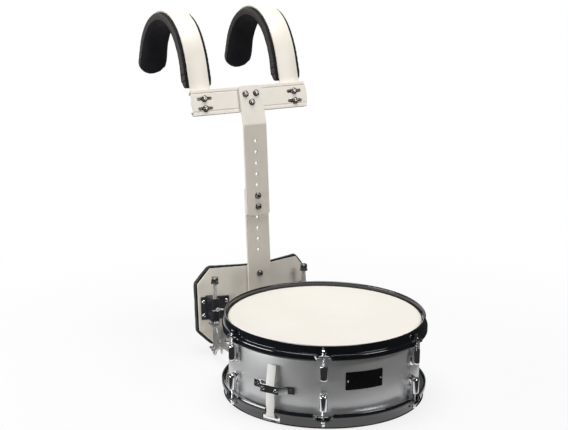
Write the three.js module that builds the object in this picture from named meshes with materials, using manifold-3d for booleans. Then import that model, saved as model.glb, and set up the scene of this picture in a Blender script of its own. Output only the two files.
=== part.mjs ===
// Marching snare drum hung on a shoulder carrier, in millimetres, +Z up.
import * as THREE from "three";
import { mergeVertices } from "three/addons/utils/BufferGeometryUtils.js";
import Module from "manifold-3d";

const wasm = await Module();
wasm.setup();

// Fits that all pieces share
const gap = 0.3;
const overrun = 1;
const clear = 10;
const bendStep = { bar: 4.5, band: 12 };

// Drum
const drumDiameter = 355.6;
const shellHeight = 140;
const lugCount = 6;
const firstLugAngle = 30;
const ringSides = 42;
const drumRadius = drumDiameter / 2;
const shell = { wall: 6, edge: 4, ventRadius: 4, ventAngle: 168 };
const head = { film: 0.4, collar: 1.5, bend: 1.2, fleshHeight: 6.2, fleshWidth: 8.6 };
const hoop = {
  metal: 2, wallOut: 5.6, rimRise: 7.8, rimLip: 1.6, stepDrop: 16, skirtOut: 13.1, skirtDrop: 28.5,
  earWidth: 22, earReach: 6.5, earCorner: 5, notchTop: 10.5, notchFoot: 17, gateWidth: 36, gateLow: 4,
  gateHigh: 15,
};
const rod = {
  out: 12.7, radius: 2.75, washerRadius: 4.8, washerThick: 1.2, collarRadius: 3.6, collarHeight: 2.4,
  keyWide: 5.4, keyHeight: 5.8, inLug: 18,
};
const lug = { fromEdge: 28.3, length: 30, radius: 7.5, footWidth: 11, footLow: 2, footHigh: 17, boreSpare: 4 };
const badge = {
  angle: -5.9, width: 72, low: -9.3, high: 24.2, thick: 0.6, rivetRadius: 1.8, rivetHeight: 1.1, rivetIn: 4,
};

// Snares
const buttAngle = -60;
const strap = {
  width: 17.5, thick: 0.8, out: 10.8, clampOut: 11.6, topOut: 6.6, top: 30.5, turnIn: 2.5, turnUp: 9,
  edgeDrop: 0.4,
};
const wires = { count: 20, radius: 0.65, pitch: 2, plateLength: 16, plateThick: 1.7, run: 316 };
const bridge = {
  low: -20.5, high: -6.5, thick: 2, footOut: 13.6, footIn: 9.2, half: 18, screwApart: 27, footScrew: 11.4,
  footBite: 1.6,
};
const clampPlate = { half: 17.5, thick: 1.8 };
const keyed = { radius: 2, headRadius: 3.4, headHeight: 2.2, keyHalf: 1.8, keyHeight: 4 };
const strainer = {
  half: 17, cheek: 3, low: -20, high: 14, base: 4, rail: 10, ear: 21, earLow: -3, pivotOut: 16.7,
  pivotUp: 6.2, pinRadius: 2.5, pinHead: 2, pinRim: 1, hubRadius: 4.5, armWide: 20, armThick: 4, armTop: 40,
  bridgeLow: 10, bridgeOut: 11,
};
const slide = { low: -16, high: 0, front: 10.8, clampThick: 2, clampIn: 1, screwUp: -8, screwApart: 21 };
const knob = {
  out: 7.2, radius: 6.4, height: 10, bevel: 1, shank: 2, end: -6, spare: 2, flutes: 10, fluteRadius: 1,
};

// Carrier
const carrierOut = 82.2;
const carrierUp = 122.2;
const barTilt = 5.7;
const yokeTilt = 18.5;
const bar = {
  width: 50, thick: 5, bend: 256.3, bendRadius: 24, head: 78, foot: 75.4, footBow: 6, corner: 9,
  holeRadius: 3.2, pitch: 21.8, firstBolt: 115.1, holesAbove: 5, lowerTop: 130.6, lowerFoot: -130,
  lowerCorner: 2, holesBelow: 4,
};
const boltHead = {
  radius: 5.2, height: 3.6, domeShare: 0.85, washerRadius: 6.6, washerThick: 1.2, shank: 2.8,
};
const nut = { radius: 5.5, height: 4 };
const yokeBolts = { apart: 23, high: 62, low: 45 };
const bellyBoltUp = -42.7;
const bellyBoltLow = -112;
const cross = {
  half: 127, low: 28.1, high: 77.7, deep: 12, web: 3, lip: 8, lipThick: 2, groove: 0.8, grooveWide: 1.6,
  grooveIn: 7, slotLength: 32, slotHalf: 3.4, slotCorner: 3.3, endBow: 4,
};
const band = {
  apart: 197.2, width: 42, thick: 3.5, foot: 33, run: 92, tipRun: 55, boltHigh: 60.1, boltLow: 40.9,
};
const bandBends = [
  { radius: 180, angle: 21 },
  { radius: 105, angle: 69 },
  { radius: 113, angle: 56 },
];
const pad = { width: 52, thick: 19, start: 41.3, overTip: 5, tipRadius: 26, heel: 9, steps: 17 };
const padSectionShares = [
  [-0.86, 0], [0.86, 0], [1, 0.15], [0.99, 0.6], [0.85, 0.86], [0.42, 0.98], [-0.42, 0.98], [-0.85, 0.86],
  [-0.99, 0.6], [-1, 0.15],
];
const padHeelShares = [[0, 0.6, 0.96], [0.12, 0.86, 0.986], [0.5, 0.97, 0.997], [1, 1, 1]];
const padTipShares = [0.75, 0.4, 0.15, 0.04, 0];
const padTipWideShare = 0.06;
const padTipDeepShare = 0.45;
const belly = {
  flat: 26, wing: 16.5, thick: 3, topHalf: 97, sideHalf: 122, top: -25, upper: -55.5, lower: -149.5,
  bottom: -176,
};
const bellyPad = { proud: 5, thick: 11, drawn: 2, crown: 1.5, columns: 18, rows: 6 };

// Hangers
const hangerApart = 200;
const hangerForward = 1;
const bracket = {
  wide: 57, low: 72.8, high: 118.5, thick: 3, channel: 16, channelFront: 7.5, corner: 3, bore: 4.3,
  screwWide: 45, screwTall: 27, screwRadius: 3.6, screwHeight: 2.2, plateIn: -10,
};
const hangerRod = {
  radius: 4, end: 2.5, capLow: 152, capHigh: 163, capRadius: 7, washerRadius: 8, washerThick: 2,
  nutRadius: 6.5, nutHeight: 5.5, knurls: 9, knurlRadius: 1,
};
const hook = {
  half: 9, metal: 2.5, front: 32, web: 10.5, low: 7, high: 65, tabThick: 3, lowTab: 15, tabBack: 6.5,
  slotSpare: 0.45, tongue: 3, tipIn: 8.5, tipHalf: 9.5, holeRadius: 2, prong: 16,
};
const wing = {
  span: 26, thick: 3, rise: 5, hubRadius: 6, hubHeight: 5.6, screwUp: 99.5, screwRadius: 2.6,
  collarRadius: 4.4,
};
const wingOutlineShares = [
  [0, -0.56], [0.23, -0.56], [0.55, -0.34], [0.8, -0.1], [0.95, 0.02], [1, 0.3], [0.96, 0.55], [0.86, 0.75],
  [0.73, 0.72], [0.5, 0.42], [0.25, 0.37],
];

const middle = shellHeight / 2 + hoop.rimRise;
const stepTop = middle - hoop.stepDrop;
const rodCircle = drumRadius + rod.out;
const lugEnd = shellHeight / 2 - lug.fromEdge;
const carrierZ = middle + carrierUp;
const radians = THREE.MathUtils.degToRad;

const finishes = {
  shell: { color: "#a9a9ab", roughness: 0.32, metalness: 0.9 },
  black: { color: "#14151a", roughness: 0.25, metalness: 0.4 },
  head: { color: "#f6efe4", roughness: 0.7, metalness: 0 },
  chrome: { color: "#d8dadd", roughness: 0.12, metalness: 1 },
  plastic: { color: "#e9e6df", roughness: 0.5, metalness: 0 },
  wire: { color: "#b9bcc0", roughness: 0.3, metalness: 1 },
  paint: { color: "#f0e8dc", roughness: 0.45, metalness: 0 },
  foam: { color: "#17171a", roughness: 0.95, metalness: 0 },
  bracket: { color: "#1b1c20", roughness: 0.4, metalness: 0.3 },
  steel: { color: "#b3b3b0", roughness: 0.35, metalness: 1 },
};

// Solids from geometry
function toSolid(thing) {
  if (!thing.isBufferGeometry) {
    return thing;
  }
  const bare = thing.clone();
  bare.deleteAttribute("normal");
  bare.deleteAttribute("uv");
  const merged = mergeVertices(bare);
  const vertices = merged.attributes.position.array;
  const corners = merged.index.array;
  const triangles = [];
  let volume = 0;
  const [a, b, c] = [new THREE.Vector3(), new THREE.Vector3(), new THREE.Vector3()];
  for (let first = 0; first < corners.length; first += 3) {
    const [i, j, k] = corners.slice(first, first + 3);
    if (i === j || j === k || k === i) {
      continue;
    }
    triangles.push([i, j, k]);
    a.fromArray(vertices, 3 * i);
    b.fromArray(vertices, 3 * j);
    c.fromArray(vertices, 3 * k);
    volume += a.dot(b.cross(c));
  }
  const ordered = volume < 0 ? triangles.map(([i, j, k]) => [i, k, j]) : triangles;
  const mesh = new wasm.Mesh({
    numProp: 3,
    vertProperties: new Float32Array(vertices),
    triVerts: new Uint32Array(ordered.flat()),
  });
  return new wasm.Manifold(mesh);
}

const join = (first, ...rest) => rest.reduce((sum, next) => sum.add(toSolid(next)), toSolid(first));
const cut = (first, ...rest) => rest.reduce((sum, next) => sum.subtract(toSolid(next)), toSolid(first));
const common = (first, ...rest) => rest.reduce((sum, next) => sum.intersect(toSolid(next)), toSolid(first));

function toGeometry(thing) {
  const mesh = toSolid(thing).getMesh();
  const geometry = new THREE.BufferGeometry();
  geometry.setAttribute("position", new THREE.BufferAttribute(mesh.vertProperties, 3));
  geometry.setIndex(new THREE.BufferAttribute(mesh.triVerts, 1));
  return geometry;
}

function piece(name, thing, finish) {
  const geometry = toGeometry(thing);
  geometry.computeVertexNormals();
  const made = new THREE.Mesh(geometry, new THREE.MeshStandardMaterial(finishes[finish]));
  made.name = name;
  return made;
}

// Plain forms
function block(x0, x1, y0, y1, z0, z1) {
  const box = new THREE.BoxGeometry(x1 - x0, y1 - y0, z1 - z0);
  return box.translate((x0 + x1) / 2, (y0 + y1) / 2, (z0 + z1) / 2);
}

function mirrored(geometry) {
  return geometry.clone().scale(-1, 1, 1);
}

function post(radius, z0, z1, sides = 12) {
  const cylinder = new THREE.CylinderGeometry(radius, radius, z1 - z0, sides);
  return cylinder.rotateX(Math.PI / 2).translate(0, 0, (z0 + z1) / 2);
}

function revolve(profile, sides) {
  const points = profile.map(([radius, height]) => new THREE.Vector2(radius, height));
  return new THREE.LatheGeometry(points, sides).rotateX(Math.PI / 2);
}

function ring(profile, sides = ringSides) {
  return revolve([...profile, profile[0]], sides);
}

function outline(points) {
  return new THREE.Shape(points.map(([across, up]) => new THREE.Vector2(across, up)));
}

function extrude(shape, depth, curveSegments = 8) {
  return new THREE.ExtrudeGeometry(shape, { depth, curveSegments, bevelEnabled: false });
}

function alongZ(shape, z0, z1, curves) {
  return extrude(shape, z1 - z0, curves).translate(0, 0, z0);
}

function alongY(shape, y0, y1, curves) {
  return extrude(shape, y1 - y0, curves).rotateX(Math.PI / 2).translate(0, y1, 0);
}

function alongX(shape, x0, x1, curves) {
  return extrude(shape, x1 - x0, curves).rotateX(Math.PI / 2).rotateZ(Math.PI / 2).translate(x0, 0, 0);
}

function roundedOutline(x0, x1, y0, y1, corner) {
  const shape = new THREE.Shape();
  shape.moveTo(x0 + corner, y0);
  shape.lineTo(x1 - corner, y0);
  shape.absarc(x1 - corner, y0 + corner, corner, -Math.PI / 2, 0);
  shape.lineTo(x1, y1 - corner);
  shape.absarc(x1 - corner, y1 - corner, corner, 0, Math.PI / 2);
  shape.lineTo(x0 + corner, y1);
  shape.absarc(x0 + corner, y1 - corner, corner, Math.PI / 2, Math.PI);
  shape.lineTo(x0, y0 + corner);
  shape.absarc(x0 + corner, y0 + corner, corner, Math.PI, 1.5 * Math.PI);
  return shape;
}

// A path of straight runs and right-hand bends, as points in a plane
function tracePath(start, headingAngle, runs) {
  const points = [start];
  let [across, up] = start;
  let heading = radians(headingAngle);
  for (const run of runs) {
    if (run.length) {
      across += run.length * Math.cos(heading);
      up += run.length * Math.sin(heading);
      points.push([across, up]);
      continue;
    }
    const steps = Math.ceil(Math.abs(run.angle) / run.step);
    const turn = radians(run.angle) / steps;
    const chord = 2 * run.radius * Math.sin(Math.abs(turn) / 2);
    for (let step = 0; step < steps; step += 1) {
      heading -= turn / 2;
      across += chord * Math.cos(heading);
      up += chord * Math.sin(heading);
      heading -= turn / 2;
      points.push([across, up]);
    }
  }
  return points;
}

// The same path moved sideways to its right, with mitred corners
function shiftPath(path, distance) {
  return path.map((point, index) => {
    const normals = [];
    for (const [from, to] of [[index - 1, index], [index, index + 1]]) {
      if (from < 0 || to >= path.length) {
        continue;
      }
      const [dx, dy] = [path[to][0] - path[from][0], path[to][1] - path[from][1]];
      const size = Math.hypot(dx, dy);
      normals.push([dy / size, -dx / size]);
    }
    const [first, last] = [normals[0], normals[normals.length - 1]];
    const spread = 1 + first[0] * last[0] + first[1] * last[1];
    return [
      point[0] + (distance * (first[0] + last[0])) / spread,
      point[1] + (distance * (first[1] + last[1])) / spread,
    ];
  });
}

const ribbon = (path, thick) => outline([...path, ...shiftPath(path, thick).reverse()]);

// A closed skin through rings of equal count, with flat ends
function loft(rings) {
  const count = rings[0].length;
  const points = rings.flat();
  const faces = [];
  for (let level = 0; level + 1 < rings.length; level += 1) {
    for (let side = 0; side < count; side += 1) {
      const next = (side + 1) % count;
      const [a, b] = [level * count + side, level * count + next];
      const [c, d] = [a + count, b + count];
      faces.push(a, b, d, a, d, c);
    }
  }
  for (const [level, flip] of [[0, true], [rings.length - 1, false]]) {
    const centre = new THREE.Vector3();
    rings[level].forEach((point) => centre.add(point));
    points.push(centre.divideScalar(count));
    for (let side = 0; side < count; side += 1) {
      const pair = [level * count + side, level * count + ((side + 1) % count)];
      faces.push(points.length - 1, ...(flip ? pair.reverse() : pair));
    }
  }
  const geometry = new THREE.BufferGeometry().setFromPoints(points);
  geometry.setIndex(faces);
  return geometry;
}

// Round a station at an angle from the front of the drum, +X points outward
function station(angle) {
  const group = new THREE.Group();
  group.rotation.z = radians(angle) - Math.PI / 2;
  return group;
}

const atStation = (geometry, angle) => geometry.rotateZ(radians(angle) - Math.PI / 2);
const lugAngles = Array.from({ length: lugCount }, (_, index) => firstLugAngle + (360 / lugCount) * index);

// Drum shell with bevelled bearing edges
function makeShell() {
  const half = shellHeight / 2;
  const inner = drumRadius - shell.wall;
  const crest = drumRadius - shell.wall + shell.edge;
  const body = ring([
    [inner, shell.edge - half], [crest, -half], [drumRadius, -half], [drumRadius, half], [crest, half],
    [inner, half - shell.edge],
  ]);
  const vent = post(shell.ventRadius, inner - overrun, drumRadius + overrun).rotateY(Math.PI / 2);
  return cut(body, atStation(vent, shell.ventAngle));
}

// Film stretched over the edge, with its flesh hoop
function makeHead() {
  const top = shellHeight / 2 + gap + head.film;
  const inner = drumRadius + 2 * gap;
  const outer = inner + head.collar;
  const fleshTop = stepTop - hoop.metal - gap;
  const fleshLow = fleshTop - head.fleshHeight;
  const fleshOut = inner + head.fleshWidth;
  return revolve([
    [0, top], [outer - head.bend, top], [outer, top - head.bend], [outer, fleshTop], [fleshOut, fleshTop],
    [fleshOut, fleshLow], [inner, fleshLow], [inner, top - head.film], [0, top - head.film],
  ], ringSides);
}

// Ear of the hoop, from inside its wall to its rounded front
function makeEar() {
  const inner = drumRadius + hoop.wallOut + hoop.metal / 2;
  const half = hoop.earWidth / 2;
  const outer = rodCircle + hoop.earReach;
  const shape = roundedOutline(inner - 2 * hoop.earCorner, outer, -half, half, hoop.earCorner);
  const stepLow = stepTop - hoop.metal;
  return common(alongZ(shape, stepLow, stepTop, 2), block(inner, outer, -half, half, stepLow, stepTop));
}

// Opening in the skirt under an ear, wide at the skirt's edge and drawn up to the ear
function makeSkirtNotch() {
  const low = middle - hoop.skirtDrop;
  const high = stepTop - hoop.metal;
  const shape = new THREE.Shape();
  shape.moveTo(-hoop.notchFoot, low - overrun);
  shape.lineTo(hoop.notchFoot, low - overrun);
  shape.bezierCurveTo(hoop.notchTop, low, hoop.notchTop, high, hoop.notchTop, high);
  shape.lineTo(-hoop.notchTop, high);
  shape.bezierCurveTo(-hoop.notchTop, high, -hoop.notchTop, low, -hoop.notchFoot, low - overrun);
  const skirtIn = drumRadius + hoop.skirtOut - hoop.metal;
  return alongX(shape, skirtIn - overrun, rodCircle + hoop.earReach + overrun, 3);
}

// Hoop with rim, wall, step and skirt, and an ear over each lug
function makeHoop() {
  const wallIn = drumRadius + hoop.wallOut;
  const wallOut = wallIn + hoop.metal;
  const skirtOut = drumRadius + hoop.skirtOut;
  const skirtIn = skirtOut - hoop.metal;
  const skirtLow = middle - hoop.skirtDrop;
  const body = ring([
    [wallIn, middle], [wallIn, stepTop - hoop.metal], [skirtIn, stepTop - hoop.metal], [skirtIn, skirtLow],
    [skirtOut, skirtLow], [skirtOut, stepTop], [wallOut, stepTop], [wallOut, middle - hoop.metal],
    [wallOut + hoop.rimLip, middle - hoop.metal], [wallOut + hoop.rimLip, middle],
  ]);
  const notched = cut(body, ...lugAngles.map((angle) => atStation(makeSkirtNotch(), angle)));
  const ears = lugAngles.map((angle) => atStation(toGeometry(makeEar()), angle));
  const bores = lugAngles.map((angle) => {
    const bore = post(rod.radius + gap, stepTop - hoop.metal - overrun, stepTop + overrun, 8);
    return atStation(bore.translate(rodCircle, 0, 0), angle);
  });
  return cut(join(notched, ...ears), ...bores);
}

// Snare gates in the lower hoop: a slot through the wall and a notch for the strap
function makeGate() {
  const half = hoop.gateWidth / 2;
  const wallIn = drumRadius + hoop.wallOut;
  const fleshOut = drumRadius + 2 * gap + head.fleshWidth;
  const strapHalf = strap.width / 2 + 2 * gap;
  const outer = drumRadius + hoop.skirtOut + overrun;
  const [low, high] = [hoop.gateLow - middle, hoop.gateHigh - middle];
  return join(
    block(wallIn - overrun, outer, -half, half, low, high),
    block(fleshOut + gap, outer, -strapHalf, strapHalf, high - overrun, hoop.skirtDrop - middle + overrun),
  );
}

// Tube lug: a bored barrel with a domed end on a foot
function makeLug() {
  const low = lugEnd - lug.length;
  const dome = [0, 35, 65, 90].map((angle) => [
    lug.radius * Math.sin(radians(angle)), low + lug.radius * (1 - Math.cos(radians(angle))),
  ]);
  const boreEnd = lugEnd - rod.inLug - lug.boreSpare;
  const barrel = revolve([
    ...dome, [lug.radius, lugEnd], [rod.radius + gap, lugEnd], [rod.radius + gap, boreEnd], [0, boreEnd],
  ], 8).translate(rodCircle, 0, 0);
  const seat = drumRadius + gap;
  const into = rodCircle - lug.radius / 2;
  const side = new THREE.Shape();
  side.moveTo(seat, low - lug.footLow);
  side.lineTo(seat + gap, low - lug.footLow);
  side.quadraticCurveTo(seat + lug.radius / 2, low - lug.footLow, into, low + lug.radius / 3);
  side.lineTo(into, low + lug.footHigh);
  side.lineTo(seat, low + lug.footHigh);
  return join(barrel, alongY(side, -lug.footWidth / 2, lug.footWidth / 2, 3));
}

// Tension rod with washer, collar and square head
function makeTensionRod() {
  const washerTop = stepTop + gap + rod.washerThick;
  const collarTop = washerTop + rod.collarHeight;
  const half = rod.keyWide / 2;
  const low = lugEnd - rod.inLug;
  return join(
    revolve([
      [0, low], [rod.radius, low], [rod.radius, stepTop + gap], [rod.washerRadius, stepTop + gap],
      [rod.washerRadius, washerTop], [rod.collarRadius, washerTop], [rod.collarRadius, collarTop],
      [0, collarTop],
    ], 8),
    block(-half, half, -half, half, collarTop - overrun, collarTop + rod.keyHeight),
  );
}

// Plate that follows the shell, between two angles
function arcPlate(inner, outer, halfAngle, low, high) {
  const shape = new THREE.Shape();
  shape.absarc(0, 0, outer, -halfAngle, halfAngle, false);
  shape.absarc(0, 0, inner, halfAngle, -halfAngle, true);
  return alongZ(shape, low, high, 9);
}

function makeBadge() {
  const inner = drumRadius + gap;
  const outer = inner + badge.thick;
  const rivetAngle = (badge.width / 2 - badge.rivetIn) / outer;
  const rivetUp = (badge.low + badge.high) / 2;
  const rivets = [-1, 1].map((side) => {
    const { rivetRadius, rivetHeight } = badge;
    const dome = revolve([
      [0, -badge.thick / 2], [rivetRadius, -badge.thick / 2], [rivetRadius, rivetHeight / 3],
      [rivetRadius / 2, rivetHeight], [0, rivetHeight],
    ], 8);
    return dome.rotateY(Math.PI / 2).translate(outer, 0, rivetUp).rotateZ(side * rivetAngle);
  });
  return join(arcPlate(inner, outer, badge.width / 2 / outer, badge.low, badge.high), ...rivets);
}

// Screw with washer and square key head, standing on the face it points out of along +X
function keyScrew(length) {
  const half = keyed.keyHalf;
  const washer = keyed.headHeight / 2;
  const screw = join(
    post(keyed.radius, -length, gap + washer, 8),
    post(keyed.headRadius, gap, gap + washer, 8),
    block(-half, half, -half, half, washer, keyed.headHeight + keyed.keyHeight),
  );
  return toGeometry(screw).rotateY(Math.PI / 2);
}

// Bridge over the strap, its feet bent to the shell
function makeButtPlate() {
  const footRadius = drumRadius + 2 * gap;
  const polar = (radius, angle) => [radius * Math.cos(radians(angle)), radius * Math.sin(radians(angle))];
  const crest = drumRadius + strap.clampOut + strap.thick / 2 + gap;
  const path = [
    polar(footRadius, -bridge.footOut), polar(footRadius, -bridge.footIn), [crest, -bridge.half],
    [crest, bridge.half], polar(footRadius, bridge.footIn), polar(footRadius, bridge.footOut),
  ];
  const up = (bridge.low + bridge.high) / 2;
  const feet = [-1, 1].map((side) => {
    const screw = keyScrew(bridge.footBite).translate(footRadius + bridge.thick - 2 * gap, 0, up);
    return screw.rotateZ(side * radians(bridge.footScrew));
  });
  const holes = [-1, 1].map((side) => {
    const hole = post(keyed.radius + gap, crest - overrun, crest + bridge.thick + overrun, 10);
    return hole.rotateY(Math.PI / 2).translate(0, (side * bridge.screwApart) / 2, up);
  });
  return cut(join(alongZ(ribbon(path, bridge.thick), bridge.low, bridge.high), ...feet), ...holes);
}

// Inner clamp plate with its two screws through the bridge
function makeButtClamp() {
  const crest = drumRadius + strap.clampOut + strap.thick / 2 + gap;
  const outer = drumRadius + strap.clampOut - strap.thick / 2 - gap;
  const up = (bridge.low + bridge.high) / 2;
  const head = crest + bridge.thick;
  const screws = [-1, 1].map((side) => {
    const screw = keyScrew(head - outer + clampPlate.thick / 2);
    return screw.translate(head, (side * bridge.screwApart) / 2, up);
  });
  const half = clampPlate.half;
  const inner = outer - clampPlate.thick;
  const plate = block(inner, outer, -half, half, bridge.low + overrun, bridge.high - overrun);
  return join(plate, ...screws);
}

// Lower run of a strap: down outside the flesh hoop, through the gate, under the film to the wires
function strapPath(top) {
  const down = drumRadius + strap.out;
  const wireLow = wirePlateLow() - gap - strap.thick;
  return [
    ...top,
    [down, hoop.skirtDrop - hoop.rimRise - middle],
    [down, hoop.gateHigh - gap - middle],
    [down - strap.turnIn, strap.turnUp - middle],
    [drumRadius, wireLow + strap.edgeDrop],
    [wires.run / 2 + wires.plateLength / 2, wireLow],
    [wires.run / 2 - wires.plateLength / 2, wireLow],
  ];
}

const wireCentre = () => -(shellHeight / 2 + gap + head.film) - gap - wires.radius;
const wirePlateLow = () => wireCentre() - wires.plateThick / 2;

function makeButtStrap() {
  const up = drumRadius + strap.clampOut + strap.thick / 2;
  const path = strapPath([
    [drumRadius + strap.topOut, strap.top], [up, bridge.high + overrun], [up, bridge.low - overrun],
  ]);
  return alongY(ribbon(path, strap.thick), -strap.width / 2, strap.width / 2);
}

function makeSnareWires() {
  const half = wires.run / 2;
  const centre = wireCentre();
  const wide = (wires.pitch * wires.count) / 2;
  const plateLow = wirePlateLow();
  const plates = [-half, half].map((centreX) => {
    const [from, to] = [centreX - wires.plateLength / 2, centreX + wires.plateLength / 2];
    return block(from, to, -wide, wide, plateLow, plateLow + wires.plateThick);
  });
  const strands = Array.from({ length: wires.count }, (_, index) => {
    const strand = post(wires.radius, -half, half, 4).rotateY(Math.PI / 2);
    return strand.translate(0, wires.pitch * (index + 0.5) - wide, centre);
  });
  return join(...plates, ...strands);
}

// Strainer body: a saddle on the shell with two rails, two ears and a bridge for the knob
function makeStrainerBody() {
  const seat = drumRadius + gap;
  const pivot = drumRadius + strainer.pivotOut;
  const inner = strainer.half - strainer.cheek;
  const cheeks = [-1, 1].map((side) => {
    const shape = new THREE.Shape();
    shape.moveTo(drumRadius, strainer.low);
    shape.lineTo(drumRadius + strainer.rail, strainer.low);
    shape.lineTo(drumRadius + strainer.rail, strainer.earLow);
    shape.lineTo(drumRadius + strainer.ear - strainer.hubRadius, strainer.earLow);
    shape.absarc(pivot, strainer.pivotUp, drumRadius + strainer.ear - pivot, 0, Math.PI / 2);
    shape.lineTo(drumRadius + strainer.rail, strainer.high);
    shape.lineTo(drumRadius, strainer.high);
    return side < 0
      ? alongY(shape, -strainer.half, -inner, 4)
      : alongY(shape, inner, strainer.half, 4);
  });
  const { half, low, high, bridgeLow } = strainer;
  const pinHole = post(strainer.pinRadius + gap, -half - overrun, half + overrun).rotateX(Math.PI / 2);
  const knobHole = post(knob.shank + gap, bridgeLow - overrun, high + overrun);
  return cut(
    join(
      block(drumRadius - overrun, seat + strainer.base, -half, half, low, high),
      ...cheeks,
      block(drumRadius, drumRadius + strainer.bridgeOut, -half, half, bridgeLow, high),
    ),
    post(seat, low - overrun, high + overrun, 2 * ringSides),
    pinHole.translate(pivot, 0, strainer.pivotUp),
    knobHole.translate(drumRadius + knob.out, 0, 0),
  );
}

// Throw-off lever with its hub and pivot pin
function makeStrainerLever() {
  const inner = strainer.half - strainer.cheek - gap;
  const arm = strainer.armWide / 2;
  const thick = strainer.armThick;
  const top = strainer.armTop - strainer.pivotUp;
  const face = strainer.half + gap;
  const head = face + strainer.pinHead;
  const round = join(
    post(strainer.hubRadius, -inner, inner),
    post(strainer.pinRadius, -head, head),
    post(strainer.pinRadius + strainer.pinRim, face, head),
    post(strainer.pinRadius + strainer.pinRim, -head, -face),
  );
  const plate = alongX(roundedOutline(-arm, arm, -thick, top, thick), -thick / 2, thick / 2, 4);
  const lip = outline([[0, top - 2 * thick], [thick, top - thick], [thick, top - gap], [0, top - gap]]);
  return join(toGeometry(round).rotateX(Math.PI / 2), plate, alongY(lip, thick - arm, arm - thick));
}

// Sliding block with its clamp plate and the strap that it pulls
function makeStrainerSlide() {
  const inner = strainer.half - strainer.cheek - gap;
  const back = drumRadius + gap + strainer.base + gap;
  const front = drumRadius + slide.front;
  const face = front + strap.thick + slide.clampThick;
  const screws = [-1, 1].map((side) => {
    const screw = keyScrew(slide.clampThick);
    return screw.translate(face - gap, (side * slide.screwApart) / 2, slide.screwUp);
  });
  const hole = post(knob.shank + gap, knob.end - knob.spare, slide.high + overrun);
  const path = strapPath([[drumRadius + strap.out + strap.thick, slide.high - slide.clampIn]]);
  const clampHalf = inner - slide.clampIn;
  const [clampLow, clampHigh] = [slide.low + slide.clampIn, slide.high - 2 * slide.clampIn];
  return cut(
    join(
      block(back, front + gap, -inner, inner, slide.low, slide.high),
      alongY(ribbon(path, strap.thick), -strap.width / 2, strap.width / 2),
      block(front, face, -clampHalf, clampHalf, clampLow, clampHigh),
      ...screws,
    ),
    hole.translate(drumRadius + knob.out, 0, 0),
  );
}

// Fluted knob that tightens the snares
function makeTensionKnob() {
  const low = strainer.high + gap;
  const high = low + knob.height;
  const { radius, bevel } = knob;
  const flutes = Array.from({ length: knob.flutes }, (_, index) => {
    const flute = post(knob.fluteRadius, low - overrun, high + overrun, 5).translate(radius, 0, 0);
    return flute.rotateZ((2 * Math.PI * index) / knob.flutes);
  });
  const body = revolve([
    [0, low], [radius - bevel, low], [radius, low + bevel], [radius, high - bevel], [radius - bevel, high],
    [0, high],
  ], 20);
  return cut(join(body, post(knob.shank, knob.end, low + overrun)), ...flutes);
}

// Round-head bolt with washer, its head on the -Y side of y = 0, shank to a depth
function faceBolt(depth) {
  const headTop = boltHead.washerThick + boltHead.height;
  return revolve([
    [0, -depth], [boltHead.shank, -depth], [boltHead.shank, 0], [boltHead.washerRadius, 0],
    [boltHead.washerRadius, boltHead.washerThick], [boltHead.radius, boltHead.washerThick],
    [boltHead.radius * boltHead.domeShare, boltHead.washerThick + boltHead.height / 2],
    [boltHead.shank / 2, headTop], [0, headTop],
  ], 8).rotateX(Math.PI / 2);
}

function backNut(depth) {
  return post(nut.radius, 0, nut.height, 6).rotateX(-Math.PI / 2).translate(0, depth, 0);
}

function faceHole(radius, x, up, depth) {
  return post(radius, -clear, depth, 8).rotateX(-Math.PI / 2).translate(x, 0, up);
}

// Upper height bar: bent head, rounded ends, a row of holes and three bolts
function makeUpperBar() {
  const half = bar.width / 2;
  const angle = yokeTilt - barTilt;
  const toCorner = bar.bendRadius * Math.tan(radians(angle) / 2);
  const path = tracePath([0, bar.foot - bar.footBow], 90, [
    { length: bar.bend - bar.foot + bar.footBow - toCorner },
    { radius: bar.bendRadius, angle, step: bendStep.bar },
    { length: bar.head },
  ]);
  const body = alongX(ribbon(path, bar.thick), -half, half);
  const front = new THREE.Shape();
  const top = bar.bend + bar.head * Math.cos(radians(angle));
  front.moveTo(-half, bar.foot + bar.footBow / 2);
  front.quadraticCurveTo(0, bar.foot - bar.footBow / 2, half, bar.foot + bar.footBow / 2);
  front.lineTo(half, top - bar.corner);
  front.absarc(half - bar.corner, top - bar.corner, bar.corner, 0, Math.PI / 2);
  front.absarc(-half + bar.corner, top - bar.corner, bar.corner, Math.PI / 2, Math.PI);
  const trimmed = common(body, alongY(front, -bar.bend, bar.bend, 6));
  const lowest = bar.firstBolt - bar.pitch;
  const rows = Array.from({ length: bar.holesAbove + 2 }, (_, index) => lowest + bar.pitch * index);
  const holes = rows.map((up) => faceHole(bar.holeRadius, 0, up, bar.thick + overrun));
  return join(cut(trimmed, ...holes), ...yokeBoltGeometry());
}

// The three bolts of the bar's head, placed in the tilted frame above the bend
function toBarFrame(geometry) {
  return geometry.rotateX(-radians(yokeTilt - barTilt)).translate(0, 0, bar.bend);
}

function yokeBoltPlaces() {
  const { apart, high, low } = yokeBolts;
  return [[-apart / 2, high], [apart / 2, high], [0, low]];
}

function yokeBoltGeometry() {
  const webBack = bar.thick + gap + cross.web + gap;
  return yokeBoltPlaces().flatMap(([x, up]) => [
    toBarFrame(faceBolt(webBack + nut.height / 2).translate(x, -gap / 2, up)),
    toBarFrame(backNut(webBack).translate(x, 0, up)),
  ]);
}

// Lower height bar behind the upper one, with the same row of holes
function makeLowerBar() {
  const half = bar.width / 2;
  const front = bar.thick + gap;
  const back = front + bar.thick;
  const shape = roundedOutline(-half, half, bar.lowerFoot, bar.lowerTop, bar.lowerCorner);
  const rows = Array.from({ length: bar.holesBelow + 2 }, (_, index) => bar.firstBolt - bar.pitch * index);
  const places = [...rows, bellyBoltUp, bellyBoltLow];
  const holes = places.map((up) => faceHole(bar.holeRadius, 0, up, back + overrun));
  return cut(alongY(shape, front, back, 2), ...holes);
}

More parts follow.
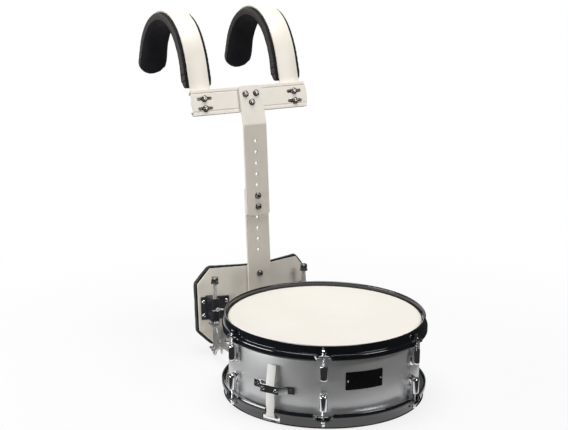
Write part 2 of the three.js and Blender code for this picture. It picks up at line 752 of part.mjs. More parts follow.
// Bolt through both bars, or through the lower bar and the belly plate
function makeHeightBolt() {
  const depth = 2 * bar.thick + 2 * gap;
  return join(faceBolt(depth + nut.height / 2).translate(0, -gap, 0), backNut(depth));
}

function makeBellyBolt() {
  const front = bar.thick + gap;
  const depth = front + bar.thick + gap + belly.thick - overrun / 2;
  return faceBolt(depth - front).translate(0, front - gap, bellyBoltUp);
}

// Section of the crossbar: a channel with two grooves in front and lips behind
function crossSection() {
  const front = bar.thick + gap;
  const back = front + cross.deep;
  const { low, high, web, lip } = cross;
  const webBack = front + web;
  const lipFront = back - cross.lipThick;
  const groove = (up) => [
    [front, up - cross.grooveWide], [front + cross.groove, up - cross.grooveWide / 2],
    [front + cross.groove, up + cross.grooveWide / 2], [front, up + cross.grooveWide],
  ];
  return outline([
    [front + gap, low], [front, low + gap], ...groove(low + cross.grooveIn), ...groove(high - cross.grooveIn),
    [front, high - gap], [front + gap, high], [back, high], [back, high - lip], [lipFront, high - lip],
    [lipFront, high - web], [webBack, high - web], [webBack, low + web], [lipFront, low + web],
    [lipFront, low + lip], [back, low + lip], [back, low],
  ]);
}

// Grooved crossbar with slots for the bands and bowed ends
function makeCrossbar() {
  const front = bar.thick + gap;
  const back = front + cross.deep;
  const webBack = front + cross.web;
  const { low, high, endBow, slotHalf } = cross;
  const flatHalf = cross.half - endBow;
  const bowed = cross.half + endBow;
  const end = new THREE.Shape();
  end.moveTo(-flatHalf, low - overrun);
  end.lineTo(flatHalf, low - overrun);
  end.quadraticCurveTo(bowed, (low + high) / 2, flatHalf, high + overrun);
  end.lineTo(-flatHalf, high + overrun);
  end.quadraticCurveTo(-bowed, (low + high) / 2, -flatHalf, low - overrun);
  const ends = alongY(end, front - overrun, back + overrun, 6);
  const body = common(alongX(crossSection(), -bowed, bowed), ends);
  const slots = [-1, 1].flatMap((side) => [band.boltHigh, band.boltLow].map((up) => {
    const [from, to] = [side * band.apart - cross.slotLength, side * band.apart + cross.slotLength];
    const slot = roundedOutline(from / 2, to / 2, up - slotHalf, up + slotHalf, cross.slotCorner);
    return alongY(slot, front - overrun, webBack + overrun, 3);
  }));
  const bores = yokeBoltPlaces().map(([x, up]) => faceHole(boltHead.shank + gap, x, up, webBack + overrun));
  return cut(body, ...slots, ...bores);
}

// Outer face of a shoulder band, from its foot behind the crossbar over the shoulder
function bandPath() {
  const foot = bar.thick + 2 * gap + cross.deep;
  const bends = bandBends.map((bend) => ({ ...bend, step: bendStep.band }));
  return tracePath([foot, band.foot], 90, [{ length: band.run }, ...bends, { length: band.tipRun }]);
}

// Waste outside the half-round tip of a strip of this width
function tipWaste(path, width) {
  const [last, before] = [path[path.length - 1], path[path.length - 2]];
  const heading = Math.atan2(last[1] - before[1], last[0] - before[0]);
  const radius = width / 2;
  const shape = new THREE.Shape();
  shape.moveTo(-radius - clear, -radius);
  shape.lineTo(-radius, -radius);
  shape.absarc(0, -radius, radius, Math.PI, 0, true);
  shape.lineTo(radius + clear, -radius);
  shape.lineTo(radius + clear, overrun);
  shape.lineTo(-radius - clear, overrun);
  const waste = alongY(shape, -radius, radius, 8);
  return waste.rotateX(heading - Math.PI / 2).translate(0, last[0], last[1]);
}

// Shoulder band of flat bar, with its two bolts through the crossbar's slots
function makeShoulderBand() {
  const path = bandPath();
  const half = band.width / 2;
  const front = bar.thick + gap;
  const foot = front + cross.deep + gap;
  const body = cut(alongX(ribbon(path, band.thick), -half, half), tipWaste(path, band.width));
  const bolts = [band.boltHigh, band.boltLow].map((up) =>
    faceBolt(foot + band.thick / 2 - front).translate(0, front - gap, up));
  return join(body, ...bolts);
}

// Place and inward normal at a distance along a path, also past its end
function pathFollower(path) {
  const lengths = [0];
  for (let index = 1; index < path.length; index += 1) {
    const [from, to] = [path[index - 1], path[index]];
    lengths.push(lengths[index - 1] + Math.hypot(to[0] - from[0], to[1] - from[1]));
  }
  const follow = (distance) => {
    const next = lengths.findIndex((length) => length > distance);
    const index = next < 0 ? path.length - 2 : next - 1;
    const [from, to] = [path[index], path[index + 1]];
    const size = lengths[index + 1] - lengths[index];
    const [across, up] = [(to[0] - from[0]) / size, (to[1] - from[1]) / size];
    const over = distance - lengths[index];
    return { place: [from[0] + across * over, from[1] + up * over], normal: [up, -across] };
  };
  return { follow, total: lengths[lengths.length - 1] };
}

// Foam pad under the band: crowned below, drawn in at its sides, round at its free end
function makeShoulderPad() {
  const { follow, total } = pathFollower(shiftPath(bandPath(), band.thick + gap));
  const end = total + pad.overTip;
  const whole = pad.start + pad.heel;
  const ringAt = (distance, wideShare, deepShare) => {
    const { place, normal } = follow(distance);
    return padSectionShares.map(([across, down]) => new THREE.Vector3(
      (pad.width / 2) * wideShare * across,
      place[0] + normal[0] * pad.thick * deepShare * down,
      place[1] + normal[1] * pad.thick * deepShare * down,
    ));
  };
  const heel = padHeelShares.map(([along, deep, wide]) => ringAt(pad.start + pad.heel * along, wide, deep));
  const pitch = (end - pad.tipRadius - whole) / pad.steps;
  const run = Array.from({ length: pad.steps }, (_, index) => ringAt(whole + (index + 0.5) * pitch, 1, 1));
  const tip = padTipShares.map((share) => {
    const round = Math.sqrt(1 - (1 - share) ** 2);
    const deep = padTipDeepShare + (1 - padTipDeepShare) * Math.sqrt(round);
    return ringAt(end - pad.tipRadius * share, Math.max(round, padTipWideShare), deep);
  });
  return loft([...heel, ...run, ...tip]);
}

// Cut-corner belly plate with its wings bent back
function wingShift(x) {
  return Math.max(Math.abs(x) - belly.flat, 0) * Math.tan(radians(belly.wing));
}

function bellyOutline(proud) {
  const cornerGrow = proud * Math.tan(Math.PI / 8);
  const [low, high] = [belly.bottom - proud, belly.top + proud];
  const [sideLow, sideHigh] = [belly.lower - cornerGrow, belly.upper + cornerGrow];
  const [wide, narrow] = [belly.sideHalf + proud, belly.topHalf + cornerGrow];
  return outline([
    [-narrow, low], [narrow, low], [wide, sideLow], [wide, sideHigh], [narrow, high], [-narrow, high],
    [-wide, sideHigh], [-wide, sideLow],
  ]);
}

const plateFront = 2 * (bar.thick + gap);

function makeBellyPlate() {
  const wide = belly.sideHalf + overrun;
  const path = [-wide, -belly.flat, belly.flat, wide].map((x) => [x, plateFront + wingShift(x)]);
  const sheet = alongZ(ribbon(path.reverse(), belly.thick), belly.bottom - overrun, belly.top + overrun);
  const body = common(sheet, alongY(bellyOutline(0), -belly.sideHalf, belly.sideHalf));
  return cut(body, faceHole(boltHead.shank + gap, 0, bellyBoltUp, plateFront + belly.thick + overrun));
}

// Foam sheet behind the belly plate, crowned in the middle and drawn in round its edge
function makeBellyPad() {
  const front = plateFront + belly.thick / Math.cos(radians(belly.wing)) + gap;
  const { columns, rows, proud } = bellyPad;
  const wide = belly.sideHalf + proud;
  const shoulder = belly.topHalf + proud * Math.tan(Math.PI / 8);
  const middleUp = (belly.top + belly.bottom) / 2;
  const fullHalf = (belly.top - belly.bottom) / 2 + proud;
  const sideHalf = (belly.upper - belly.lower) / 2 + proud * Math.tan(Math.PI / 8);
  const sideUp = (belly.upper + belly.lower) / 2;
  const corner = (x) => Math.max(Math.abs(x) - shoulder, 0) / (wide - shoulder);
  const place = (column, row, inset, depth) => {
    const x = (2 * column / columns - 1) * (wide - inset);
    const half = THREE.MathUtils.lerp(fullHalf, sideHalf, corner(x)) - inset;
    const up = THREE.MathUtils.lerp(middleUp, sideUp, corner(x)) + (2 * row / rows - 1) * half;
    return new THREE.Vector3(x, front + wingShift(x) + depth, up);
  };
  const rim = [];
  for (let column = 0; column < columns; column += 1) {
    rim.push([column, 0]);
  }
  for (let row = 0; row < rows; row += 1) {
    rim.push([columns, row]);
  }
  for (let column = columns; column > 0; column -= 1) {
    rim.push([column, rows]);
  }
  for (let row = rows; row > 0; row -= 1) {
    rim.push([0, row]);
  }
  const bulge = (column, row) => {
    const [across, up] = [2 * column / columns - 1, 2 * row / rows - 1];
    return bellyPad.crown * (1 - across ** 4) * (1 - up ** 4);
  };
  const points = [];
  const grid = (inset, depth) => {
    const first = points.length;
    for (let row = 0; row <= rows; row += 1) {
      for (let column = 0; column <= columns; column += 1) {
        points.push(place(column, row, inset, depth(column, row)));
      }
    }
    return ([column, row]) => first + row * (columns + 1) + column;
  };
  const faceAt = grid(bellyPad.drawn, () => 0);
  const edgeDepth = bellyPad.thick - bellyPad.crown;
  const backAt = grid(bellyPad.drawn, (column, row) => edgeDepth + bulge(column, row));
  const rimFirst = points.length;
  rim.forEach(([column, row]) => points.push(place(column, row, 0, bellyPad.thick / 2)));
  const faces = [];
  const quad = (a, b, c, d) => faces.push(a, b, c, a, c, d);
  for (let row = 0; row < rows; row += 1) {
    for (let column = 0; column < columns; column += 1) {
      const cell = [[column, row], [column + 1, row], [column + 1, row + 1], [column, row + 1]];
      quad(...cell.map(faceAt));
      quad(...cell.map(backAt).reverse());
    }
  }
  rim.forEach((from, index) => {
    const next = (index + 1) % rim.length;
    const [a, b] = [rimFirst + index, rimFirst + next];
    quad(faceAt(rim[next]), faceAt(from), a, b);
    quad(b, a, backAt(from), backAt(rim[next]));
  });
  const geometry = new THREE.BufferGeometry().setFromPoints(points);
  geometry.setIndex(faces);
  return geometry;
}

// Frame of the belly plate's right wing, as a matrix in the drum's upright frame
function wingMatrix() {
  const carrier = new THREE.Matrix4().makeRotationX(-radians(barTilt));
  carrier.setPosition(0, drumRadius + carrierOut, carrierZ);
  const turn = new THREE.Matrix4().makeRotationZ(radians(belly.wing));
  turn.setPosition(belly.flat, plateFront, 0);
  return carrier.multiply(turn);
}

const hangerY = drumRadius + carrierOut + hangerForward;

// Hanger bracket: plate on the wing with four screws and a channel for the rod
function makeBracket() {
  const x = hangerApart / 2;
  const along = (x - belly.flat) / Math.cos(radians(belly.wing)) + bracket.plateIn;
  const half = bracket.wide / 2;
  const [low, high] = [bracket.low - carrierZ, bracket.high - carrierZ];
  const matrix = wingMatrix();
  const [left, right] = [along - half, along + half];
  const plate = block(left, right, -bracket.thick - gap, -gap, low, high).applyMatrix4(matrix);
  const middleUp = (low + high) / 2;
  const screws = [-1, 1].flatMap((side) => [-1, 1].map((end) => {
    const head = revolve([
      [0, 0], [bracket.screwRadius, 0], [bracket.screwRadius, bracket.screwHeight / 2],
      [bracket.screwRadius / 2, bracket.screwHeight], [0, bracket.screwHeight],
    ], 8).rotateX(Math.PI / 2);
    const [across, up] = [(side * bracket.screwWide) / 2, (end * bracket.screwTall) / 2];
    return head.translate(along + across, -bracket.thick, middleUp + up).applyMatrix4(matrix);
  }));
  const channelHalf = bracket.channel / 2;
  const front = hangerY - bracket.channelFront;
  const wide = bracket.wide;
  const channelShape = roundedOutline(x - channelHalf, x + channelHalf, front, hangerY + wide, bracket.corner);
  const behind = block(along - wide, along + wide, -gap, wide, low - wide, high + wide);
  const channel = cut(alongZ(channelShape, bracket.low, bracket.high, 3), behind.applyMatrix4(matrix));
  const bore = post(bracket.bore, bracket.low - overrun, bracket.high + overrun).translate(x, hangerY, 0);
  const screwBore = post(wing.screwRadius + gap, -wide, 0).rotateX(-Math.PI / 2);
  return cut(join(plate, channel, ...screws), bore, screwBore.translate(x, hangerY, wing.screwUp));
}

// Threaded hanger rod with its knurled cap, washer and lower nut
function makeHangerRod() {
  const { radius, capLow, capHigh, capRadius } = hangerRod;
  const bevel = hangerRod.knurlRadius;
  const knurls = Array.from({ length: hangerRod.knurls }, (_, index) => {
    const groove = post(bevel, capLow + overrun, capHigh + overrun, 4).translate(capRadius, 0, 0);
    return groove.rotateZ((2 * Math.PI * index) / hangerRod.knurls);
  });
  const washerLow = capLow - hangerRod.washerThick;
  const cap = cut(revolve([
    [0, washerLow], [hangerRod.washerRadius, washerLow], [hangerRod.washerRadius, capLow],
    [capRadius, capLow], [capRadius, capHigh - bevel], [capRadius - bevel, capHigh], [0, capHigh],
  ], 12), ...knurls);
  const nutTop = hook.lowTab - gap;
  return join(
    revolve([
      [0, hangerRod.end], [radius - bevel, hangerRod.end], [radius, hangerRod.end + bevel],
      [radius, capLow], [0, capLow],
    ], 12),
    cap,
    post(hangerRod.nutRadius, nutTop - hangerRod.nutHeight, nutTop, 6),
  );
}

// Folded hook: a channel with two tabs on the rod and a forked tongue under the lug
function makeHook() {
  const x = hangerApart / 2;
  const [inner, outer] = [x - hook.half, x + hook.half];
  const webBack = hangerY - hook.web;
  const front = hangerY - hook.front;
  const sides = [inner, outer - hook.metal].map((from) => {
    const shape = new THREE.Shape();
    shape.moveTo(webBack, hook.low + hook.prong / 2);
    shape.lineTo(webBack - hook.prong / 3, hook.low);
    shape.lineTo(webBack - hook.prong / 2, hook.low);
    shape.quadraticCurveTo(webBack - hook.prong / 2, hook.low + hook.prong, front, hook.low + hook.prong);
    shape.lineTo(front, hook.high - hook.prong / 2);
    shape.lineTo(front + hook.prong / 2, hook.high);
    shape.lineTo(webBack, hook.high);
    const plate = alongX(shape, from, from + hook.metal, 4);
    const hole = post(hook.holeRadius, x - 2 * hook.half, x + 2 * hook.half, 8).rotateY(Math.PI / 2);
    return cut(plate, hole.translate(0, webBack - hook.prong / 2, hook.low + hook.prong));
  });
  const webFront = webBack - hook.metal;
  const web = block(inner, outer, webFront, webBack, hook.low + hook.prong / 2, hook.high);
  const tabs = [hook.lowTab, hook.high - hook.tabThick].map((low) =>
    block(inner, outer, webFront, hangerY + hook.tabBack, low, low + hook.tabThick));
  const bore = post(bracket.bore, hook.low, hook.high + overrun).translate(x, hangerY, 0);
  return cut(join(web, ...sides, ...tabs, makeTongue(inner, outer, front)), bore);
}

// Forked tongue from the hook to the back lug, just under its lower end
function makeTongue(inner, outer, front) {
  const top = middle - lugEnd - gap;
  const lugAngle = 180 - firstLugAngle;
  const out = new THREE.Vector2(Math.sin(radians(lugAngle)), -Math.cos(radians(lugAngle)));
  const side = new THREE.Vector2(-out.y, out.x);
  const at = (radius, across) => [out.x * radius + side.x * across, out.y * radius + side.y * across];
  const tip = rodCircle - hook.tipIn;
  const heel = rodCircle + hook.tipHalf;
  const rootY = front + 2 * hook.metal;
  const shape = outline([
    at(tip, -hook.tipHalf), at(heel, -hook.tipHalf), [outer - gap, rootY], [inner + gap, rootY],
    at(heel, hook.tipHalf), at(tip, hook.tipHalf),
  ]);
  const half = rod.radius + hook.slotSpare;
  const slot = new THREE.Shape();
  slot.moveTo(rodCircle - 3 * hook.tipIn, -half);
  slot.lineTo(rodCircle, -half);
  slot.absarc(rodCircle, 0, half, -Math.PI / 2, Math.PI / 2);
  slot.lineTo(rodCircle - 3 * hook.tipIn, half);
  const slotBody = atStation(alongZ(slot, top - hook.tongue - overrun, top + overrun, 6), lugAngle);
  return cut(alongZ(shape, top - hook.tongue, top), slotBody);
}

// Two-lobed grip, flat in the XZ plane, from a table of its right half
function makeGrip() {
  const half = wing.span / 2;
  const right = wingOutlineShares.map(([across, up]) => [half * across, wing.rise * up]);
  const left = right.slice(1).reverse().map(([across, up]) => [-across, up]);
  return alongY(outline([...right, ...left]), -wing.thick / 2, wing.thick / 2);
}

// Wing nut under the bracket, round the rod
function makeWingNut() {
  const half = wing.hubHeight / 2;
  const body = join(post(wing.hubRadius + gap, -half, half), makeGrip().rotateX(Math.PI));
  return cut(body, post(bracket.bore, -wing.span, wing.span));
}

// Wing screw that clamps the rod in its channel, its shank along +Y
function makeWingScrew() {
  const toRod = bracket.channelFront - hangerRod.radius - gap;
  return join(
    post(wing.screwRadius, -2 * gap, toRod).rotateX(-Math.PI / 2),
    post(wing.collarRadius, gap, gap + wing.hubHeight).rotateX(Math.PI / 2),
    makeGrip().rotateX(Math.PI / 2).translate(0, -wing.hubHeight, 0),
  );
}

// The drum, built round its middle
const object = new THREE.Group();
const drum = new THREE.Group();
drum.position.z = middle;
object.add(drum);
drum.add(piece("shell", makeShell(), "shell"));
drum.add(piece("batter_head", makeHead(), "head"));
drum.add(piece("batter_hoop", makeHoop(), "black"));
const turned = (solid) => toGeometry(solid).rotateX(Math.PI);
drum.add(piece("snare_head", turned(makeHead()), "head"));
const gates = [buttAngle, buttAngle + 180].map((angle) => atStation(toGeometry(makeGate()), angle));
drum.add(piece("snare_hoop", cut(turned(makeHoop()), ...gates), "black"));

lugAngles.forEach((angle, index) => {
  const upper = station(angle);
  upper.add(piece(`lug_upper_${index + 1}`, makeLug(), "chrome"));
  const upperRod = piece(`tension_rod_upper_${index + 1}`, makeTensionRod(), "chrome");
  upperRod.position.x = rodCircle;
  upper.add(upperRod);
  const lower = station(angle);
  const flipped = new THREE.Group();
  flipped.rotation.x = Math.PI;
  flipped.add(piece(`lug_lower_${index + 1}`, makeLug(), "chrome"));
  const lowerRod = piece(`tension_rod_lower_${index + 1}`, makeTensionRod(), "chrome");
  lowerRod.position.x = rodCircle;
  flipped.add(lowerRod);
  lower.add(flipped);
  drum.add(upper, lower);
});

const badgeStation = station(badge.angle);
badgeStation.add(piece("badge", makeBadge(), "black"));
const butt = station(buttAngle);
butt.add(piece("butt_plate", makeButtPlate(), "chrome"));
butt.add(piece("butt_clamp", makeButtClamp(), "chrome"));
butt.add(piece("butt_strap", makeButtStrap(), "plastic"));
butt.add(piece("snare_wires", makeSnareWires(), "wire"));
const throwOff = station(buttAngle + 180);
throwOff.add(piece("strainer_body", makeStrainerBody(), "chrome"));
throwOff.add(piece("strainer_slide", makeStrainerSlide(), "chrome"));
const lever = piece("strainer_lever", makeStrainerLever(), "chrome");
lever.position.set(drumRadius + strainer.pivotOut, 0, strainer.pivotUp);
const tensionKnob = piece("tension_knob", makeTensionKnob(), "chrome");
tensionKnob.position.x = drumRadius + knob.out;
throwOff.add(lever, tensionKnob);
drum.add(badgeStation, butt, throwOff);

// The carrier, leaning away from the drum
const carrier = new THREE.Group();
carrier.position.set(0, drumRadius + carrierOut, carrierZ);
carrier.rotation.x = -radians(barTilt);
object.add(carrier);
carrier.add(piece("upper_bar", makeUpperBar(), "paint"));
carrier.add(piece("lower_bar", makeLowerBar(), "paint"));
carrier.add(piece("belly_plate", makeBellyPlate(), "paint"));
carrier.add(piece("belly_pad", makeBellyPad(), "foam"));
carrier.add(piece("belly_bolt", makeBellyBolt(), "chrome"));
[0, 1].forEach((index) => {
  const bolt = piece(`height_bolt_${index + 1}`, makeHeightBolt(), "chrome");
  bolt.position.z = bar.firstBolt - bar.pitch * index;
  carrier.add(bolt);
});

const yoke = new THREE.Group();
yoke.position.z = bar.bend;
yoke.rotation.x = -radians(yokeTilt - barTilt);
carrier.add(yoke);
yoke.add(piece("crossbar", makeCrossbar(), "paint"));
for (const [side, word] of [[-1, "left"], [1, "right"]]) {
  const shoulderBand = piece(`shoulder_band_${word}`, makeShoulderBand(), "paint");
  const shoulderPad = piece(`shoulder_pad_${word}`, makeShoulderPad(), "foam");
  shoulderBand.position.x = (side * band.apart) / 2;
  shoulderPad.position.x = (side * band.apart) / 2;
  yoke.add(shoulderBand, shoulderPad);
}

// The hangers, made on the right and mirrored for the left
for (const [side, word] of [[-1, "left"], [1, "right"]]) {
  const sided = (solid) => (side < 0 ? mirrored(toGeometry(solid)) : solid);
  const x = (side * hangerApart) / 2;
  const wingNut = piece(`wing_nut_${word}`, makeWingNut(), "chrome");
  wingNut.position.set(x, hangerY, bracket.low - gap - wing.hubHeight / 2);
  const wingScrew = piece(`wing_screw_${word}`, makeWingScrew(), "chrome");
  wingScrew.position.set(x, hangerY - bracket.channelFront - gap, wing.screwUp);
  const threaded = piece(`hanger_rod_${word}`, makeHangerRod(), "steel");
  threaded.position.set(x, hangerY, 0);
  object.add(piece(`hanger_bracket_${word}`, sided(makeBracket()), "bracket"));
  object.add(piece(`hanger_hook_${word}`, sided(makeHook()), "steel"));
  object.add(wingNut, wingScrew, threaded);
}

// Origin under the middle of the footprint
object.updateMatrixWorld(true);
const extent = new THREE.Box3().setFromObject(object, true);
const centre = extent.getCenter(new THREE.Vector3());
const part = new THREE.Group();
object.position.set(-centre.x, -centre.y, -extent.min.z);
part.add(object);

export default part;
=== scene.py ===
from math import atan2, ceil, cos, hypot, pi, radians, sin, sqrt, tan

import bmesh
import bpy
from mathutils import Matrix, Vector
from mathutils.bvhtree import BVHTree


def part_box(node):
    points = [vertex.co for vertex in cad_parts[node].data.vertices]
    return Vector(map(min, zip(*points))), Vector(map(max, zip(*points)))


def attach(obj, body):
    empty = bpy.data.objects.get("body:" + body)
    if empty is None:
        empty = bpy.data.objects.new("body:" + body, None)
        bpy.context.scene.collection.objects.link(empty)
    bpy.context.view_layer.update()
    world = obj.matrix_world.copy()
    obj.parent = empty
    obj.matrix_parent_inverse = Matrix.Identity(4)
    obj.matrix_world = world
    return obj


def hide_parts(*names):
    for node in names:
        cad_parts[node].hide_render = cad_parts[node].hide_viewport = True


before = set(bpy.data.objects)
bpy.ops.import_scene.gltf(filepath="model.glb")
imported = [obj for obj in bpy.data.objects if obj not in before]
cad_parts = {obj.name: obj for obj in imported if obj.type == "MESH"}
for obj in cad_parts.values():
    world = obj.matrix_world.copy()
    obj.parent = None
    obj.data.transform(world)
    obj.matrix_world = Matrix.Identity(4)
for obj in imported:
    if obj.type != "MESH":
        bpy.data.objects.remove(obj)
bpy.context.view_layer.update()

# The camera stands where the photograph was taken from: left of the drum's front and a
# little above it, with a long lens. Its place is given in millimetres from the drum's
# axis and the rim that the drum stands on.
scene = bpy.context.scene
shell_low, shell_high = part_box("shell")
drum_middle = (shell_low + shell_high) / 2
rim_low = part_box("snare_hoop")[0].z
millimetre = 0.001
eye = Vector((-1374.9, -2369.5, 1080.3)) * millimetre
view_turn, view_tilt, view_roll = radians(-28.5), radians(15.13), radians(0.64)
focal_length, photo_width, sensor_width = 1555.58, 568, 36
backward = Vector((sin(view_turn) * cos(view_tilt), -cos(view_turn) * cos(view_tilt), sin(view_tilt)))
level = Vector((cos(view_turn), sin(view_turn), 0))
upright = backward.cross(level)
rightward = level * cos(view_roll) + upright * sin(view_roll)
upward = upright * cos(view_roll) - level * sin(view_roll)
lens = bpy.data.cameras.new("camera")
lens.sensor_width = sensor_width
lens.lens = focal_length / photo_width * sensor_width
lens.clip_end = 60
camera = bpy.data.objects.new("camera", lens)
stand = eye + Vector((drum_middle.x, drum_middle.y, rim_low))
camera.matrix_world = Matrix.Translation(stand) @ Matrix((rightward, upward, backward)).transposed().to_4x4()
scene.collection.objects.link(camera)
scene.camera = camera
scene.view_settings.view_transform = "Standard"


# The studio is a white floor under soft boxes, bright round the drum and fading into a
# dark room, so that polished metal shows dark with white edges. Shade wraps a node's
# socket: its operators add Math nodes, and node adds any other kind.
class Shade:
    def __init__(self, tree, socket=None):
        self.tree, self.socket = tree, socket

    def node(self, kind, settings=None, values=None, out=0):
        made = self.tree.nodes.new("ShaderNode" + kind)
        for key, value in (settings or {}).items():
            if key != "stops":
                setattr(made, key, value)
                continue
            stops = made.color_ramp.elements
            stops[0].position, stops[1].position = value[0][0], value[-1][0]
            for place, _ in value[1:-1]:
                stops.new(place)
            for stop, (_, tone) in zip(stops, value):
                stop.color = (*tone, 1) if isinstance(tone, tuple) else (tone, tone, tone, 1)
        for key, value in (values or {}).items():
            if isinstance(value, Shade):
                self.tree.links.new(value.socket, made.inputs[key])
            elif isinstance(value, tuple) and made.inputs[key].type == "RGBA":
                made.inputs[key].default_value = (*value, 1)
            else:
                made.inputs[key].default_value = value
        return Shade(self.tree, made.outputs[out] if made.outputs else None)

    def maths(self, operation, *values):
        return self.node("Math", {"operation": operation}, dict(enumerate(values)))

    def __add__(self, other):
        return self.maths("ADD", self, other)

    __radd__ = __add__

    def __sub__(self, other):
        return self.maths("SUBTRACT", self, other)

    def __rsub__(self, other):
        return self.maths("SUBTRACT", other, self)

    def __mul__(self, other):
        return self.maths("MULTIPLY", self, other)

    def between(self, start, end, first=0.0, last=1.0):
        """This value's way from start to end, eased, as a value from first to last."""
        return self.node("MapRange", {"interpolation_type": "SMOOTHSTEP"},
                         {0: self, 1: start, 2: end, 3: first, 4: last})

    def blend(self, low_colour, high_colour):
        """A colour between two, by this value."""
        return self.node("MixRGB", {}, {0: self, 1: low_colour, 2: high_colour})


floor_reach, under_rim = 25, 0.0004
glow_edge, glow_end, glow_left = 0.24, 0.31, 0.03
shadow_edge, shadow_end, shadow_light = 0.35, 1.1, 0.82
floor_white = bpy.data.materials.new("floor")
floor_white.use_nodes = True
floor_white.node_tree.nodes.clear()
shade = Shade(floor_white.node_tree)
place = shade.node("TexCoord", out="Object")
away = place.node("VectorMath", {"operation": "LENGTH"}, {0: place}, out="Value")
seen = shade.node("LightPath", out="Is Camera Ray")
glossy = shade.node("LightPath", out="Is Glossy Ray")
mirrored = glossy + shade.node("LightPath", out="Is Transmission Ray")
glow = seen + mirrored * away.between(glow_edge, glow_end, 1.0, glow_left)
share = seen * away.between(shadow_edge, shadow_end, shadow_light, 1.0) + mirrored
bounced = shade.node("LightPath", out="Is Diffuse Ray")
painted = shade.node("BsdfDiffuse", {}, {"Color": bounced.blend((0.82, 0.82, 0.82), (0.42, 0.41, 0.39))})
bright = shade.node("Emission", {}, {"Color": (1, 1, 1), "Strength": glow})
shade.node("OutputMaterial", {}, {"Surface": shade.node("MixShader", {}, {0: share, 1: painted, 2: bright})})
floor_mesh = bpy.data.meshes.new("floor")
corners = [(x * floor_reach, y * floor_reach, 0) for x, y in ((-1, -1), (1, -1), (1, 1), (-1, 1))]
floor_mesh.from_pydata(corners, [], [(0, 1, 2, 3)])
floor_mesh.materials.append(floor_white)
floor = bpy.data.objects.new("floor", floor_mesh)
floor.location = (drum_middle.x, drum_middle.y, rim_low - under_rim)
scene.collection.objects.link(floor)

mirrored_room, filled_room = 0.06, 0.12
world = bpy.data.worlds.new("studio")
scene.world = world
world.use_nodes = True
world.node_tree.nodes.clear()
sky = Shade(world.node_tree)
sky_seen = sky.node("LightPath", out="Is Camera Ray")
sky_mirrored = sky.node("LightPath", out="Is Glossy Ray")
sky_strength = sky_seen + (1 - sky_seen) * (sky_mirrored * mirrored_room + (1 - sky_mirrored) * filled_room)
sky.node("OutputWorld", {}, {"Surface": sky.node("Background", {}, {0: (1, 1, 1), 1: sky_strength})})


def soft_box(name, place, aim, width, height, power):
    """A soft box at a place, facing what it aims at, in metres and watts."""
    lamp = bpy.data.lights.new(name, "AREA")
    lamp.shape, lamp.size, lamp.size_y, lamp.energy = "RECTANGLE", width, height, power
    holder = bpy.data.objects.new(name, lamp)
    holder.location = place
    holder.rotation_euler = (Vector(aim) - Vector(place)).to_track_quat("-Z", "Y").to_euler()
    scene.collection.objects.link(holder)


soft_box("soft_box_above", (0, 0.05, 2.0), (0, 0, 0.2), 1.4, 1.0, 30)
soft_box("soft_box_front", (1.1, -1.95, 1.6), (0, 0.1, 0.45), 1.1, 0.6, 17)
soft_box("soft_box_left", (-1.7, 0.25, 0.25), (0, 0, 0.1), 1.2, 0.6, 22)
soft_box("soft_box_behind", (0.5, 1.9, 1.2), (0, 0, 0.3), 1.2, 1.0, 5)


# The shell is a ply cylinder in satin silver lacquer with bevelled bearing edges, and a
# vent with its eyelet. It is turned round the drum's axis from its section.
millimetres = Matrix.Scale(millimetre, 4)
drum = Matrix.Translation(drum_middle) @ millimetres
drum_radius, shell_half, shell_wall, shell_edge = 177.8, 70, 6, 4
vent_angle, crease = 168, 40


def finish(name, **constants):
    """A material with what is the same all over it, and its object coordinates."""
    material = bpy.data.materials.new(name)
    material.use_nodes = True
    for key, value in constants.items():
        key = key.replace("_", " ").title().replace("Ior", "IOR")
        material.node_tree.nodes["Principled BSDF"].inputs[key].default_value = value
    return material, Shade(material.node_tree).node("TexCoord", out="Object")


def dress(material, links, height, strength, distance=0.0004):
    """Feeds the shader's sockets, and a bump from a height."""
    bump = height.node("Bump", {}, {"Height": height, "Strength": strength, "Distance": distance})
    tree = material.node_tree
    for key, value in {**links, "Normal": bump}.items():
        tree.links.new(value.socket, tree.nodes["Principled BSDF"].inputs[key])


def grain(place, scale, detail=3, stretch=(1, 1, 1)):
    """Noise at a scale per metre, stretched along the axes."""
    spot = place.node("Mapping", {}, {"Vector": place, "Scale": stretch})
    return place.node("TexNoise", {}, {"Vector": spot, "Scale": scale, "Detail": detail, "Roughness": 0.55})


def build(name, surface, material, place, sharp=crease):
    """A piece from points in millimetres and faces, with its place in its mesh."""
    points, faces = surface
    mesh = bpy.data.meshes.new(name)
    mesh.from_pydata([place @ Vector(point) for point in points], [], faces)
    shape = bmesh.new()
    shape.from_mesh(mesh)
    bmesh.ops.remove_doubles(shape, verts=shape.verts, dist=4e-6)
    bmesh.ops.dissolve_degenerate(shape, edges=shape.edges, dist=1e-6)
    bmesh.ops.recalc_face_normals(shape, faces=shape.faces)
    shape.to_mesh(mesh)
    shape.free()
    mesh.shade_smooth()
    mesh.set_sharp_from_angle(angle=radians(sharp))
    mesh.materials.append(material)
    piece = bpy.data.objects.new(name, mesh)
    scene.collection.objects.link(piece)
    return piece


def seat(piece, body, slot, *nodes):
    """Puts a piece on a body, in the place of CAD nodes; the slot it is given is not used."""
    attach(piece, body)
    if nodes:
        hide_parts(*nodes)


def skin(rings, along_closed=False):
    """Points and faces of a skin through rings of equal count, with an end face on each last ring."""
    count, levels = len(rings[0]), len(rings)
    points = [point for ring in rings for point in ring]
    faces = []
    for level_index in range(levels if along_closed else levels - 1):
        low, high = level_index * count, (level_index + 1) % levels * count
        for side in range(count):
            beyond = (side + 1) % count
            faces.append((low + side, low + beyond, high + beyond, high + side))
    if not along_closed:
        faces += [tuple(range(count)), tuple(range((levels - 1) * count, levels * count))]
    return points, faces


